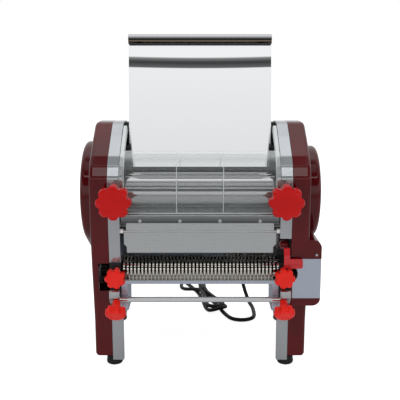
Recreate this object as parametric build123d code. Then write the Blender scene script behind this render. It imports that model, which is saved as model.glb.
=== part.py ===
from build123d import *
import os
from math import atan2, cos, degrees, hypot, pi, radians, sin, sqrt, tan

# Electric pasta maker: two smooth rollers sheet the dough, two ring rollers below cut it into noodles.
# Sizes are in millimetres. The bench frame has X to the right, Y back from the front plane of the side
# frames and Z up from the floor; every part is moved by bench_shift when it is written.

# ---- driving dimensions: frames and covers ----
frame_gap = 233.0               # clear width between the side frames
frame_thickness = 16.6
frame_height = 368.0
frame_depth = 240.0
frame_bottom = 10.0             # underside of the legs, on the rubber feet
top_slope = 90.0                # how far before the rear edge the top starts to slope down
top_drop = 83.0                 # how far below the top the slope meets the rear edge
top_radius = 90.0
leg_front = 19.5                # front of the front leg's sole
leg_width = 34.0                # front leg, front to back
leg_web = 9.0                   # thickness of the leg behind its front flange
leg_flange = 9.0                # depth of the front flange
rear_leg_width = 40.0
rear_leg_thickness = 20.0
arch_height = 104.0             # underside of the frame between the legs
cover_depth = 26.9              # how far a cover stands out from its frame
cover_wall = 2.5
cover_bottom = 17.0
cover_overhang = 4.0            # cover behind the rear edge of the frame
cover_edge_radius = 6.0
bulge_depth = 23.0              # how far the round bulges stand out from the covers
bulge_edge_radius = 7.0
bulge_radius_left = 81.0
bulge_radius_right = 72.0
belt_tail_radius = 34.0         # lower end of the left bulge, round the motor pulley
box_depth = 104.0               # electrical box, front to back
box_reach = 18.0                # how far it stands out from the cover
box_bottom = 103.0
box_top = 203.0
box_front = 2.0
box_edge_radius = 12.0
panel_bottom = 114.5
panel_top = 175.0
panel_thickness = 1.5
panel_margin = 2.4              # rim of the cover beside the panel
gear_port = (123.0, 167.0)      # opening in the left cover for the cutter gears
drive_port_radius = 15.0        # round opening beside the right clamp knob

# ---- driving dimensions: sheeting rollers and their drive ----
roller_diameter = 56.0
roller_length = 222.0
roller_chamfer = 1.0
roller_height = 265.0
front_roller_depth = 44.0       # front roller axis behind the front plane
roller_nip = 0.6                # gap between the rollers at rest
gap_travel = 3.0                # how far the front roller can be opened
journal_diameter = 20.0
running_clearance = 0.05        # radial, shaft in bush
bush_wall = 4.0
block_width = 44.0
block_height = 40.0
block_clearance = 0.3
gear_width = 9.0
roller_gear_teeth = 16
roller_gear_module = 3.5
drive_gear_teeth = 34
pinion_teeth = 14
cutter_drive_teeth = 48
idler_teeth = 50
clutch_gear_teeth = 18
drive_module = 1.5
drive_gear_width = 7.0
mesh_play = 0.3                 # added to each geared centre distance
tooth_backlash = 0.25           # taken off each tooth at the pitch line
countershaft_diameter = 14.0
countershaft_angle = -20.3      # direction from the rear roller, in the side view
stud_diameter = 12.0
large_pulley_radius = 66.0
motor_pulley_radius = 19.0
belt_width = 10.0
belt_height = 7.0
belt_clearance = 0.35
pulley_width = 16.0

# ---- driving dimensions: motor ----
motor_diameter = 104.0
motor_length = 150.0
motor_depth = 182.5             # motor axis behind the front plane
motor_height = 170.0
motor_shaft_diameter = 14.0
motor_plate_thickness = 6.0
capacitor_diameter = 30.0
capacitor_length = 70.0

# ---- driving dimensions: noodle cutter ----
ring_radius = 14.0
groove_radius = 10.5
ring_pitch = 5.4
ring_width = 2.5
ring_count = 43
cutter_centres = 27.0
cutter_height = 155.0
cutter_front_depth = 20.0
cutter_journal_diameter = 14.0
notch_bottom = 122.0
notch_top = 168.5
notch_depth = 74.0
block_face = 3.0                # front of the end blocks behind the front plane
comb_finger_width = 1.5
comb_bar_top = 141.0
comb_bar_height = 5.0
comb_bar_depth = 8.0
comb_bracket_thickness = 9.3
comb_bracket_bottom = 92.0
tongue_reach = 3.0              # tongue of the clutch spindle in the slotted roller end
tongue_width = 4.4

# ---- driving dimensions: knobs, lever, bar ----
big_knob_diameter = 51.0
big_knob_lobes = 8
big_knob_thickness = 17.0
big_knob_front = 38.0           # front face ahead of the front plane
gap_screw_diameter = 7.0
gap_screw_reach = 30.0          # tip of the screw behind the front plane
gap_knob_x = 121.0
small_knob_diameter = 31.0
small_knob_lobes = 7
small_knob_thickness = 12.0
small_hub_length = 13.0
clamp_knob_x = 122.6
clamp_knob_height = 150.6
clamp_screw_diameter = 8.0
clamp_screw_length = 7.0        # upper screw, beyond its hub
clamp_screw_reach = 11.0        # depth of the tapped hole behind the front plane
bracket_face = (-9.0, 117.0)    # upper end of the bracket's sloping face, depth and height
bracket_face_length = 12.0
lower_knob_tilt = 42.0          # degrees below the horizontal
tie_bar_diameter = 8.0
tie_bar_height = 113.0
tie_bar_depth = 1.5
slot_top = 205.5                # lever slot in the right frame
slot_depth = 48.0
lever_pivot = (34.0, 188.0)     # depth and height of the lever's axis
lever_x = (122.2, 130.9)
lever_thickness = 3.2
lever_shaft_diameter = 8.0
lever_tab_reach = 149.7
clutch_travel = 3.5
fork_groove = 1.6               # depth of the groove in the clutch spindle
bracket_thickness = 6.0

# ---- driving dimensions: feed, guard, chute ----
guard_width = 221.4
guard_thickness = 2.0
guard_bottom = 242.3
rail_depth = 10.0
rib_x = 33.8
rib_depth = 4.0
rib_rise = 8.0                  # ribs end this far above the guard's lower edge, clear of the scraper
tray_width = 220.0
tray_thickness = 1.2
tray_foot = (93.0, 298.0)       # depth and height of the tray's lower edge
tray_lean = 9.0
tray_length = 196.0
tray_roll_diameter = 15.0
tray_hem = 3.5
guide_length = 32.0
scraper_width = 229.0
blade_width = 221.0
sheet_thickness = 1.5
scraper_screw_spacing = 58.0
chute_pivot = (6.0, 216.0)
chute_width = 222.0
chute_foot = 184.0
chute_rod_diameter = 6.0
chute_gap = 2.5                 # sheet ahead of the rod's axis
rear_cover_bottom = 100.0
motor_clearance = 3.5           # between the motor and the rear cover
hood_front = 112.0              # front edge of the rear cover's top, behind the tray
hood_lip = 32.0                 # its lip, bent down
vent_count = 17
vent_pitch = 10.0
vent_width = 3.6
vent_height = 55.0

# ---- driving dimensions: feet, fasteners, switch, cord ----
foot_diameter = 25.0
foot_height = 14.0
front_foot = (132.0, 33.0)
rear_foot = (145.0, 219.0)
tie_rod_diameter = 14.0
tie_rod_centres = [(160.0, frame_height - 43.0), (96.0, 208.0), (114.0, 116.0)]
screw_head_radius = 2.7
cover_screw_radius = 4.0
switch_centre = (52.0, 150.0)
switch_size = (15.0, 27.0)
switch_depth = 16.0             # behind the face of the box
rocker_swing = 18.0
rocker_pin_diameter = 2.4
gland_x = 70.0
gland_height = 120.0
gland_length = 30.0
cord_diameter = 7.0
hank_near = ((31.0, 262.0), 22.0)       # folded cord from above: centre and radius of its near end
hank_waist = ((4.0, 360.0), 12.0)       # its tied waist, its loose side and its far end
hank_side = ((-20.0, 388.0), 18.0)
hank_far = ((-18.0, 440.0), 26.0)
hank_height = 15.0
plug_width = 26.0
plug_height = 20.0
plug_grip = 36.0
plug_sleeve = 34.0
plug_start = (12.0, 21.5)       # tip of the sleeve, beyond the far centre and beside the hank's axis
plug_pin_length = 17.0
plug_pin_spacing = 12.7
seat_gap = 0.2                  # between pieces that only rest beside each other

# ---- worked out from the driving dimensions ----
frame_inner = frame_gap / 2
frame_outer = frame_inner + frame_thickness
cover_inner = frame_outer + seat_gap
cover_outer = frame_outer + cover_depth
cover_inside = cover_outer - cover_wall
cover_depth_back = frame_depth + cover_overhang
box_outer = cover_outer + box_reach
panel_inner = cover_inner + panel_margin
rear_cover_back = motor_depth + motor_diameter / 2 + motor_clearance
roller_radius = roller_diameter / 2
journal_radius = journal_diameter / 2
front_axis = (front_roller_depth, roller_height)
rear_axis = (front_roller_depth + roller_diameter + roller_nip, roller_height)
cutter_front_axis = (cutter_front_depth, cutter_height)
cutter_rear_axis = (cutter_front_depth + cutter_centres, cutter_height)
motor_axis = (motor_depth, motor_height)
gear_plane = frame_outer + 4.0                      # inner face of the gears beside the frame
second_plane = gear_plane + gear_width + 2.5        # inner face of the outer row of gears
second_plane_end = second_plane + drive_gear_width
pulley_plane = second_plane + 12.0
pulley_middle = pulley_plane + pulley_width / 2
comb_front = cutter_front_depth - 16.0
clutch_fork_x = (frame_outer + bracket_thickness + 0.6, frame_outer + bracket_thickness + 3.6)
bench_shift = Pos(0, (big_knob_front - cover_depth_back) / 2, 0)


def point_at(start, distance, angle):
    """Point at a distance and an angle (degrees) from another in the side view."""
    return (start[0] + distance * cos(radians(angle)), start[1] + distance * sin(radians(angle)))


def third_point(start, end, start_distance, end_distance):
    """Point at the two given distances from two others, on the front side of the line between them."""
    along = hypot(end[0] - start[0], end[1] - start[1])
    reach = (start_distance ** 2 - end_distance ** 2 + along ** 2) / (2 * along)
    rise = sqrt(start_distance ** 2 - reach ** 2)
    ahead = ((end[0] - start[0]) / along, (end[1] - start[1]) / along)
    return (start[0] + ahead[0] * reach + ahead[1] * rise, start[1] + ahead[1] * reach - ahead[0] * rise)


def centre_distance(teeth_a, teeth_b):
    """Running distance of two drive gears."""
    return (teeth_a + teeth_b) * drive_module / 2 + mesh_play


countershaft_axis = point_at(rear_axis, centre_distance(drive_gear_teeth, pinion_teeth), countershaft_angle)
idler_axis = third_point(rear_axis, cutter_rear_axis, centre_distance(cutter_drive_teeth, idler_teeth),
                         centre_distance(idler_teeth, clutch_gear_teeth))
bulge_centre_right = (rear_axis[0] + 17.0, rear_axis[1] - 9.0)


# ---- shared forms ----
def mirrored(shape):
    return mirror(shape, about=Plane.YZ)


def joined(shapes):
    """Separate solids kept together as one piece list."""
    return Compound([solid for shape in shapes for solid in shape.solids()])


def both_sides(shape):
    return joined([shape, mirrored(shape)])


def side_face(points, radii=0.0):
    """Closed side-view outline (depth, height) with rounded corners."""
    return make_face(FilletPolyline(*points, radius=radii, close=True).edges())


def thick(face, x_low, x_high):
    """Side-view face made solid between two X planes."""
    return Pos(x_low, 0, 0) * extrude(Plane.YZ * face, x_high - x_low, dir=(1, 0, 0))


def slab(points, x_low, x_high, radii=0.0):
    return thick(side_face(points, radii), x_low, x_high)


def block(x, y, z):
    """Box between the given pairs of limits."""
    middle = [(low + high) / 2 for low, high in (x, y, z)]
    return Pos(*middle) * Box(x[1] - x[0], y[1] - y[0], z[1] - z[0])


def rod_x(radius, x_low, x_high, centre):
    """Round bar along X at a side-view centre."""
    return Pos((x_low + x_high) / 2, *centre) * Rot(0, 90, 0) * Cylinder(radius, x_high - x_low)


def rod_y(radius, y_low, y_high, x, z):
    return Pos(x, (y_low + y_high) / 2, z) * Rot(90, 0, 0) * Cylinder(radius, y_high - y_low)


def turned(profile, centre):
    """Turned piece about X from (x, radius) points; the first and last lie on the axis."""
    return Pos(0, *centre) * revolve(make_face(Polyline(*profile, close=True).edges()), Axis.X)


def round_end(centre, radius):
    """Edge of a circle, for a hull round several of them."""
    return (Pos(*centre) * Circle(radius)).edges()


def bent_sheet(points, radii, thickness, x_low, x_high):
    """Folded sheet: an open side-view line, thickened to its left and run along X."""
    line = FilletPolyline(*points, radius=radii)
    section = offset(line, amount=thickness, side=Side.LEFT, closed=True)
    return thick(make_face(section.edges()), x_low, x_high)


def direction(start, end):
    return degrees(atan2(end[1] - start[1], end[0] - start[0]))


def meshing_tooth(first_tooth, teeth, angle, other_teeth):
    """Direction of a tooth of the second gear, so that it meshes with the first along the given angle."""
    return angle + 180 + (angle - first_tooth) * teeth / other_teeth + 180 / other_teeth


def gear(teeth, module, x_low, x_high, centre, first_tooth, bore):
    """Spur gear about X. Each flank is an arc through three points of the involute of the base circle."""
    pitch = teeth * module / 2
    base = pitch * cos(radians(20))
    tip = pitch + 0.85 * module
    root = pitch - 1.2 * module
    start = max(base, root + 0.15 * module)
    half = pi / (2 * teeth) - tooth_backlash / (2 * pitch)
    involute = tan(radians(20)) - radians(20)

    def on_flank(radius, side, turn):
        roll = sqrt(max(radius ** 2 / base ** 2 - 1, 0.0))
        angle = turn + side * (half + involute - roll + atan2(roll, 1.0))
        return (radius * cos(angle), radius * sin(angle))

    def on_root(side, turn):
        x, y = on_flank(start, side, turn)
        return (x * root / start, y * root / start)

    radii_up = (start, (start + tip) / 2, tip)
    step = 2 * pi / teeth
    edges = []
    for index in range(teeth):
        turn = radians(first_tooth) + index * step
        rising = [on_flank(radius, -1, turn) for radius in radii_up]
        falling = [on_flank(radius, 1, turn) for radius in reversed(radii_up)]
        edges += [Line(on_root(-1, turn), rising[0]), ThreePointArc(*rising), Line(rising[2], falling[0]),
                  ThreePointArc(*falling), Line(falling[2], on_root(1, turn)),
                  Line(on_root(1, turn), on_root(-1, turn + step))]
    return Pos(0, *centre) * thick(make_face(edges) - Circle(bore), x_low, x_high)


def lobed_outline(radius, lobes):
    """Star outline: round lobes joined by tangent hollow arcs."""
    lobe = radius * 0.25
    valley = radius * 0.15
    middle = radius - lobe
    half_step = pi / lobes
    far = middle * cos(half_step) + sqrt((lobe + valley) ** 2 - (middle * sin(half_step)) ** 2)
    share = lobe / (lobe + valley)

    def touch(lobe_angle, valley_angle):
        x = middle * cos(lobe_angle) * (1 - share) + far * cos(valley_angle) * share
        y = middle * sin(lobe_angle) * (1 - share) + far * sin(valley_angle) * share
        return (x, y)

    edges = []
    for index in range(lobes):
        angle = 2 * half_step * index
        after = angle + half_step
        tip = (radius * cos(angle), radius * sin(angle))
        bottom = ((far - valley) * cos(after), (far - valley) * sin(after))
        edges.append(ThreePointArc(touch(angle, angle - half_step), tip, touch(angle, after)))
        edges.append(ThreePointArc(touch(angle, after), bottom, touch(after + half_step, after)))
    return make_face(edges)


def star_knob(diameter, lobes, thickness, hub_length, hub_radius, screw_radius, screw_length):
    """Lobed knob along +Z: front face at Z 0, then the head, the hub and a moulded-in screw."""
    outline = lobed_outline(diameter / 2, lobes)
    edge = thickness * 0.22
    rim = diameter / 2 + 0.1
    shoulder = [(rim - edge * 2.3, 0), (rim - edge * 0.7, edge * 0.7), (rim, edge * 2.4)]
    section = [Line((0, 0), shoulder[0]), ThreePointArc(*shoulder), Line(shoulder[2], (rim, thickness)),
               Line((rim, thickness), (0, thickness)), Line((0, thickness), (0, 0))]
    head = extrude(outline, thickness) & revolve(Plane.XZ * make_face(section), Axis.Z)
    hub = Pos(0, 0, thickness + hub_length / 2) * Cone(hub_radius * 1.3, hub_radius, hub_length)
    knob = head + hub
    if screw_length:
        knob += Pos(0, 0, thickness + hub_length + screw_length / 2) * Cylinder(screw_radius, screw_length)
    return knob


# ---- side frames ----
def front_profile(low):
    """Front and top edge of the machine's sides, from the front leg to the top rear."""
    top = frame_height
    return [(leg_front, low), (leg_front - 0.3, 71), (4.8, notch_top), (0, 215), (0, top - 73),
            (7.6, top - 57), (20, top - 44), (56, top - 18.5), (82, top - 2), (90, top),
            (frame_depth - top_slope, top)]


profile_radii = [0.0, 40.0, 60.0, 20.0, 12.0, 10.0, 20.0, 30.0, 6.0, 6.0, top_radius]


def rear_leg():
    """Rear leg, cast on the outside of the frame plate, under the cover."""
    rear = frame_depth - 2
    outline = [(rear - rear_leg_width, 165), (rear - rear_leg_width, 70), (rear - 30, frame_bottom),
               (rear, frame_bottom), (rear, 165)]
    return slab(outline, frame_outer, frame_outer + rear_leg_thickness, [4.0, 30.0, 2.0, 2.0, 4.0])


def bearing_window():
    """Opening in the frame in which a bearing block of the front roller slides."""
    half_width = block_width / 2 + block_clearance
    half_height = block_height / 2 + block_clearance
    return block((frame_inner - 1, frame_outer + 1),
                 (front_roller_depth - half_width - gap_travel, front_roller_depth + half_width),
                 (roller_height - half_height, roller_height + half_height))


def frame_plate():
    """What both side frames have in common, as the right one."""
    outline = front_profile(frame_bottom) + [
        (frame_depth, frame_height - top_drop), (frame_depth, arch_height - 16), (150, arch_height - 6),
        (100, arch_height), (72, 70), (leg_front + leg_width, frame_bottom)]
    plate = slab(outline, frame_inner, frame_outer, profile_radii + [60.0, 8.0, 0.0, 24.0, 30.0, 2.0])
    plate -= block((frame_inner - 1, frame_outer - leg_web), (leg_front + leg_flange, 100),
                   (frame_bottom - 1, arch_height - 8))
    plate += rear_leg()
    notch = [(-5, notch_bottom), (notch_depth, notch_bottom), (notch_depth, notch_top), (-5, notch_top)]
    plate -= slab(notch, frame_inner - 1, frame_outer + 1, [0.0, 3.0, 3.0, 0.0])
    plate -= bearing_window()
    plate -= rod_y(gap_screw_diameter / 2 + running_clearance, -5, front_roller_depth,
                   gap_knob_x, roller_height)
    plate -= rod_x(journal_radius + bush_wall, frame_inner - 1, frame_outer + 1, rear_axis)
    for centre in tie_rod_centres:
        plate -= rod_x(tie_rod_diameter / 2 - 2, frame_inner - 1, frame_outer + 1, centre)
    return plate


def side_frame_right():
    frame = frame_plate()
    frame -= block((frame_inner - 1, frame_outer + 1), (-5, slot_depth), (notch_top - 5, slot_top))
    return frame


def side_frame_left():
    frame = frame_plate()
    frame -= rod_x(countershaft_diameter / 2 + bush_wall, frame_inner - 1, frame_outer + 1, countershaft_axis)
    frame -= rod_x(motor_shaft_diameter / 2 + 3, frame_inner - 1, frame_outer + 1, motor_axis)
    return mirrored(frame)


# ---- covers ----
def cover_face():
    arch = arch_height - 16
    return side_face(front_profile(cover_bottom) + [
        (cover_depth_back, frame_height - top_drop), (cover_depth_back, cover_bottom),
        (cover_depth_back - 48, cover_bottom), (cover_depth_back - 56, 64), (cover_depth_back - 84, arch),
        (104, arch), (78, 64), (leg_front + leg_width + 4, cover_bottom)],
        profile_radii + [60.0, 10.0, 10.0, 24.0, 24.0, 24.0, 24.0, 10.0])


def cover_shell(extra_outer, extra_inner):
    """Hollow cover, open towards the frame, with the given raised forms and their hollows."""
    face = cover_face()
    outer = thick(face, cover_inner, cover_outer)
    outer = fillet(outer.faces().sort_by(Axis.X)[-1].edges(), cover_edge_radius)
    hollow = thick(offset(face, -cover_wall), cover_inner - 1, cover_inside)
    shell = outer + extra_outer - hollow - extra_inner
    leg_room = block((cover_inner - 1, frame_outer + rear_leg_thickness + block_clearance),
                     (frame_depth - 34, frame_depth - 2 + block_clearance), (frame_bottom, cover_bottom + 8))
    return shell - leg_room


def raised(face, reach, edge_radius):
    """Raised form on a cover with a rounded outer edge, and the hollow behind it."""
    outer = thick(face, cover_outer - cover_wall - 1, reach)
    outer = fillet(outer.faces().sort_by(Axis.X)[-1].edges(), edge_radius)
    return outer, thick(offset(face, -cover_wall), cover_inner, reach - cover_wall)


def cover_left():
    outline = make_hull(round_end(countershaft_axis, bulge_radius_left)
                        + round_end(motor_axis, belt_tail_radius))
    bulge, hollow = raised(outline, cover_outer + bulge_depth, bulge_edge_radius)
    cover = cover_shell(bulge, hollow)
    cover -= block((cover_inner - 1, cover_inner + 16.5), (-5, 30), gear_port)
    return mirrored(cover)


def box_body(inset):
    """Electrical box on the lower front of the right cover; the hollow is the same form, inset."""
    box = block((cover_inner + inset, box_outer - inset), (box_front + inset, box_front + box_depth - inset),
                (box_bottom + inset, box_top - inset))
    outer_edges = box.edges().filter_by(Axis.Y).group_by(Axis.X)[-1]
    return fillet(outer_edges, box_edge_radius - inset)


def around_switch(x, margin):
    """Box round the switch between two X planes, wider than it by a margin on each side."""
    y, z = switch_centre
    half_width = switch_size[0] / 2 + margin
    half_height = switch_size[1] / 2 + margin
    return block(x, (y - half_width, y + half_width), (z - half_height, z + half_height))


def drive_port():
    return rod_y(drive_port_radius, -10, 20, frame_outer - 4.5, cutter_height - 3)


def cover_right():
    bulge, hollow = raised(Pos(*bulge_centre_right) * Circle(bulge_radius_right), cover_outer + bulge_depth,
                           bulge_edge_radius)
    floor = box_front + panel_thickness
    recess = block((panel_inner, box_outer + 1), (-2, floor), (panel_bottom, panel_top))
    cover = cover_shell(bulge + box_body(0.0), joined([hollow, box_body(cover_wall)]))
    backing = block((panel_inner, box_outer - 2), (floor, floor + 2.5), (panel_bottom - 3, panel_top + 3))
    cover += backing & box_body(0.0)
    return cover - recess - drive_port() - around_switch((cover_outer, box_outer + 5), 0.0)


def control_panel():
    face = block((panel_inner + seat_gap, box_outer - seat_gap), (box_front, box_front + panel_thickness),
                 (panel_bottom + seat_gap, panel_top - seat_gap))
    return face - drive_port()


def rear_cover():
    """Folded hood behind the tray that runs down the back, with vent slots in front of the motor."""
    top = frame_height - 2
    back = rear_cover_back
    slope_start = back - top_slope + 4
    drop = top_drop - 3
    half_turn = atan2(drop, back - slope_start) / 2
    upper_bend = min(top_radius - 5, 0.85 * (slope_start - hood_front) / tan(half_turn))
    sheet = bent_sheet([(back, rear_cover_bottom), (back, top - drop), (slope_start, top), (hood_front, top),
                        (hood_front, top - hood_lip)],
                       [58.0, upper_bend, 4.0], sheet_thickness,
                       -frame_inner + seat_gap, frame_inner - seat_gap)
    slot = Pos(0, back, motor_height + 7.5) * Box(vent_width, 20, vent_height)
    first = -(vent_count - 1) / 2 * vent_pitch
    sheet -= joined([Pos(first + index * vent_pitch, 0, 0) * slot for index in range(vent_count)])
    return sheet - rod_y(cord_diameter, back - 10, back + 10, gland_x, gland_height)


def tie_rods():
    rods = []
    for centre in tie_rod_centres:
        rod = rod_x(tie_rod_diameter / 2, -frame_inner, frame_inner, centre)
        rod += rod_x(tie_rod_diameter / 2 - 2, -frame_outer, frame_outer, centre)
        rods.append(rod)
    return joined(rods)


def rubber_feet():
    """Feet with a rounded sole; each is notched round the leg that stands on it."""
    radius = foot_diameter / 2
    section = [Line((0, 0), (radius - 4, 0)),
               ThreePointArc((radius - 4, 0), (radius - 1.2, 1.2), (radius, 4)),
               Line((radius, 4), (radius - 1, foot_height)),
               Line((radius - 1, foot_height), (0, foot_height)),
               Line((0, foot_height), (0, 0))]
    foot = revolve(Plane.XZ * make_face(section), Axis.Z)
    leg_room = (frame_bottom, foot_height + 1)
    rear_face = frame_outer + rear_leg_thickness
    front = Pos(*front_foot, 0) * foot - block((0, frame_outer + seat_gap), (0, 100), leg_room)
    rear = Pos(*rear_foot, 0) * foot - block((0, rear_face + seat_gap), (0, 300), leg_room)
    return joined([front, mirrored(front), rear, mirrored(rear)])


def cover_screws():
    """Pan heads that hold the covers on."""
    head = Cylinder(cover_screw_radius, 2.0)
    head = fillet(head.edges().group_by(Axis.Z)[-1], 1.2)
    head -= Pos(0, 0, 1) * (Box(5, 0.9, 1.2) + Box(0.9, 5, 1.2))
    rear = cover_depth_back - 22
    places = [(40, 90), (62, frame_height - 46), (rear, 70), (rear, frame_height - top_drop - 35)]
    heads = [Pos(cover_outer + 1, *place) * Rot(0, 90, 0) * head for place in places]
    box_head = Pos(box_outer - 7.5, box_front - 1, box_top - 22) * Rot(90, 0, 0) * head.scale(0.5)
    return joined(heads + [mirrored(item) for item in heads] + [box_head])


# ---- sheeting rollers ----
def roller(left_end, right_end, axis):
    """Smooth roller with chamfered ends and its journals."""
    half = roller_length / 2
    rim = roller_radius - roller_chamfer
    flat = half - roller_chamfer
    return turned([(left_end, 0), (left_end, journal_radius), (-half, journal_radius), (-half, rim),
                   (-flat, roller_radius), (flat, roller_radius), (half, rim), (half, journal_radius),
                   (right_end, journal_radius), (right_end, 0)], axis)


def front_roller():
    return roller(-frame_outer, gear_plane + gear_width + 1, front_axis)


def rear_roller():
    return roller(-gear_plane - gear_width - 1, second_plane_end + 1, rear_axis)


def bearing_blocks():
    """Sliding blocks that carry the front roller, tapped for the gap screws."""
    length = frame_thickness - 2 * seat_gap
    body = Pos(frame_inner + seat_gap + length / 2, *front_axis) * Box(length, block_width, block_height)
    body -= rod_x(journal_radius + running_clearance, frame_inner, frame_outer, front_axis)
    body -= rod_y(gap_screw_diameter / 2 + running_clearance, 0, front_roller_depth,
                  gap_knob_x, roller_height)
    return both_sides(body)


def shaft_bushes():
    """Flanged bushes of the rear roller and of the countershaft."""
    def bush(shaft_radius, centre, side):
        body = rod_x(shaft_radius + bush_wall, frame_inner, frame_outer, centre)
        body += rod_x(shaft_radius + bush_wall + 3, frame_outer, frame_outer + 1.5, centre)
        body -= rod_x(shaft_radius + running_clearance, 0, cover_outer, centre)
        return body if side > 0 else mirrored(body)

    return joined([bush(journal_radius, rear_axis, 1), bush(journal_radius, rear_axis, -1),
                   bush(countershaft_diameter / 2, countershaft_axis, -1)])


def roller_gear_pair():
    angle = direction(rear_axis, front_axis)
    rear_tooth = 0.0
    front_tooth = meshing_tooth(rear_tooth, roller_gear_teeth, angle, roller_gear_teeth)
    x = (gear_plane, gear_plane + gear_width)
    rear = gear(roller_gear_teeth, roller_gear_module, *x, rear_axis, rear_tooth, journal_radius)
    front = gear(roller_gear_teeth, roller_gear_module, *x, front_axis, front_tooth, journal_radius)
    return front, rear


def primary_drive():
    """Drive gear on the rear roller and the pinion shaft that turns it, on the left side."""
    angle = direction(rear_axis, countershaft_axis)
    pinion_tooth = meshing_tooth(0.0, drive_gear_teeth, angle, pinion_teeth)
    x = (-gear_plane - gear_width, -gear_plane)
    wheel = gear(drive_gear_teeth, drive_module, *x, rear_axis, 0.0, journal_radius)
    radius = countershaft_diameter / 2
    shaft = rod_x(radius, -pulley_plane - pulley_width, -frame_inner + 2, countershaft_axis)
    pinion = gear(pinion_teeth, drive_module, *x, countershaft_axis, pinion_tooth, radius * 0.9)
    return wheel, shaft + pinion


def pulley(radius, bore, centre, hub_radius):
    """V-grooved pulley on the left; a large one gets a thin web with round holes."""
    low, high = -pulley_plane - pulley_width, -pulley_plane
    middle = -pulley_middle
    root = radius - belt_height - 2
    top_half = belt_width / 2 + belt_clearance
    root_half = top_half - (radius - root) * tan(radians(19))
    profile = [(low, bore), (low, radius), (middle - top_half, radius), (middle - root_half, root),
               (middle + root_half, root), (middle + top_half, radius), (high, radius), (high, bore)]
    wheel = turned(profile, centre)
    if radius > 3 * hub_radius:
        rim_inside = root - 5
        for x in ((low - 1, low + 5), (high - 5, high + 1)):
            wheel -= rod_x(rim_inside, *x, centre) - rod_x(hub_radius, *x, centre)
        ring = (rim_inside + hub_radius) / 2
        for index in range(6):
            wheel -= rod_x((rim_inside - hub_radius) * 0.32, low, high, point_at(centre, ring, 60 * index))
    return wheel


def belt_outline(depth):
    """Line of the belt round both pulleys, at a depth under its outer face, as a face."""
    return make_hull(round_end(countershaft_axis, large_pulley_radius - depth)
                     + round_end(motor_axis, motor_pulley_radius - depth))


def drive_belt():
    """V-belt: its flanks narrow towards the pulleys."""
    sunk = 0.5
    outer = belt_outline(sunk)
    inner = belt_outline(sunk + belt_height)
    half = belt_width / 2
    narrow = half - belt_height * tan(radians(19))
    belt = thick(outer, -half, half) - thick(inner, -half - 1, half + 1)
    for side in (-1, 1):
        ends = [Plane.YZ.offset(side * narrow) * inner, Plane.YZ.offset(side * half) * outer]
        belt -= loft(ends, ruled=True)
    return Pos(-pulley_middle, 0, 0) * belt


# ---- motor ----
def motor_body():
    """Ribbed motor with a face flange on its plate and a fan cover at the free end."""
    radius = motor_diameter / 2
    start = -frame_inner + motor_plate_thickness
    end = start + motor_length
    body = rod_x(radius - 3, start, end, motor_axis)
    body += rod_x(radius, start, start + 12, motor_axis)
    cap = rod_x(radius, end - 34, end, motor_axis)
    cap = fillet(cap.edges().filter_by(GeomType.CIRCLE).group_by(Axis.X)[-1], 8.0)
    body += cap
    ribs = [Pos((start + end) / 2 - 10, *motor_axis) * Rot(360 / 28 * index, 0, 0)
            * Pos(0, 0, radius - 4) * Box(motor_length - 40, 2.2, 7) for index in range(28)]
    body += ribs
    return body - rod_x(motor_shaft_diameter / 2 + 1, start - 1, start + 20, motor_axis)


def motor_plate():
    half = motor_diameter / 2 + 6
    y, z = motor_axis
    rear = rear_cover_back - 2
    plate = slab([(y - half, z - half), (rear, z - half), (rear, z + half), (y - half, z + half)],
                 -frame_inner, -frame_inner + motor_plate_thickness, 12.0)
    return plate - rod_x(motor_shaft_diameter / 2 + 3, -frame_inner - 1, 0, motor_axis)


def motor_shaft():
    return rod_x(motor_shaft_diameter / 2, -pulley_plane - pulley_width,
                 -frame_inner + motor_plate_thickness + 18, motor_axis)


def capacitor():
    centre = point_at(motor_axis, (motor_diameter + capacitor_diameter) / 2 + seat_gap, 72)
    can = rod_x(capacitor_diameter / 2, -capacitor_length / 2, capacitor_length / 2, centre)
    return fillet(can.edges().filter_by(GeomType.CIRCLE), 2.0)


# ---- noodle cutter ----
def cutter_roll(centre, shift, right_end, slotted):
    """Ring roller: thin rings with grooves between them, which the other roller's rings enter."""
    radius = cutter_journal_diameter / 2
    end = frame_inner - 0.3
    left_end = gear_plane + gear_width + 1
    profile = [(-left_end, 0), (-left_end, radius), (-end, radius), (-end, groove_radius)]
    for index in range(ring_count):
        x = (index - (ring_count - 1) / 2) * ring_pitch + shift
        profile += [(x - ring_width / 2, groove_radius), (x - ring_width / 2, ring_radius),
                    (x + ring_width / 2, ring_radius), (x + ring_width / 2, groove_radius)]
    profile += [(end, groove_radius), (end, radius), (right_end, radius), (right_end, 0)]
    roll = turned(profile, centre)
    if slotted:
        slot = tongue_width / 2 + block_clearance
        roll -= block((right_end - tongue_reach, right_end + 1), (centre[0] - slot, centre[0] + slot),
                      (centre[1] - radius - 1, centre[1] + radius + 1))
    return roll


def cutter_rolls():
    """Both ring rollers, each with its gear cut on the left end; the gears mesh along the depth."""
    x = (-gear_plane - gear_width, -gear_plane)
    angle = direction(cutter_rear_axis, cutter_front_axis)
    front_tooth = meshing_tooth(0.0, clutch_gear_teeth, angle, clutch_gear_teeth)
    inside = cutter_journal_diameter / 2 * 0.9
    front = cutter_roll(cutter_front_axis, ring_pitch / 4, frame_outer - seat_gap, False)
    front += gear(clutch_gear_teeth, drive_module, *x, cutter_front_axis, front_tooth, inside)
    rear = cutter_roll(cutter_rear_axis, -ring_pitch / 4, frame_outer - seat_gap, True)
    rear += gear(clutch_gear_teeth, drive_module, *x, cutter_rear_axis, 0.0, inside)
    return front, rear


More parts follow.
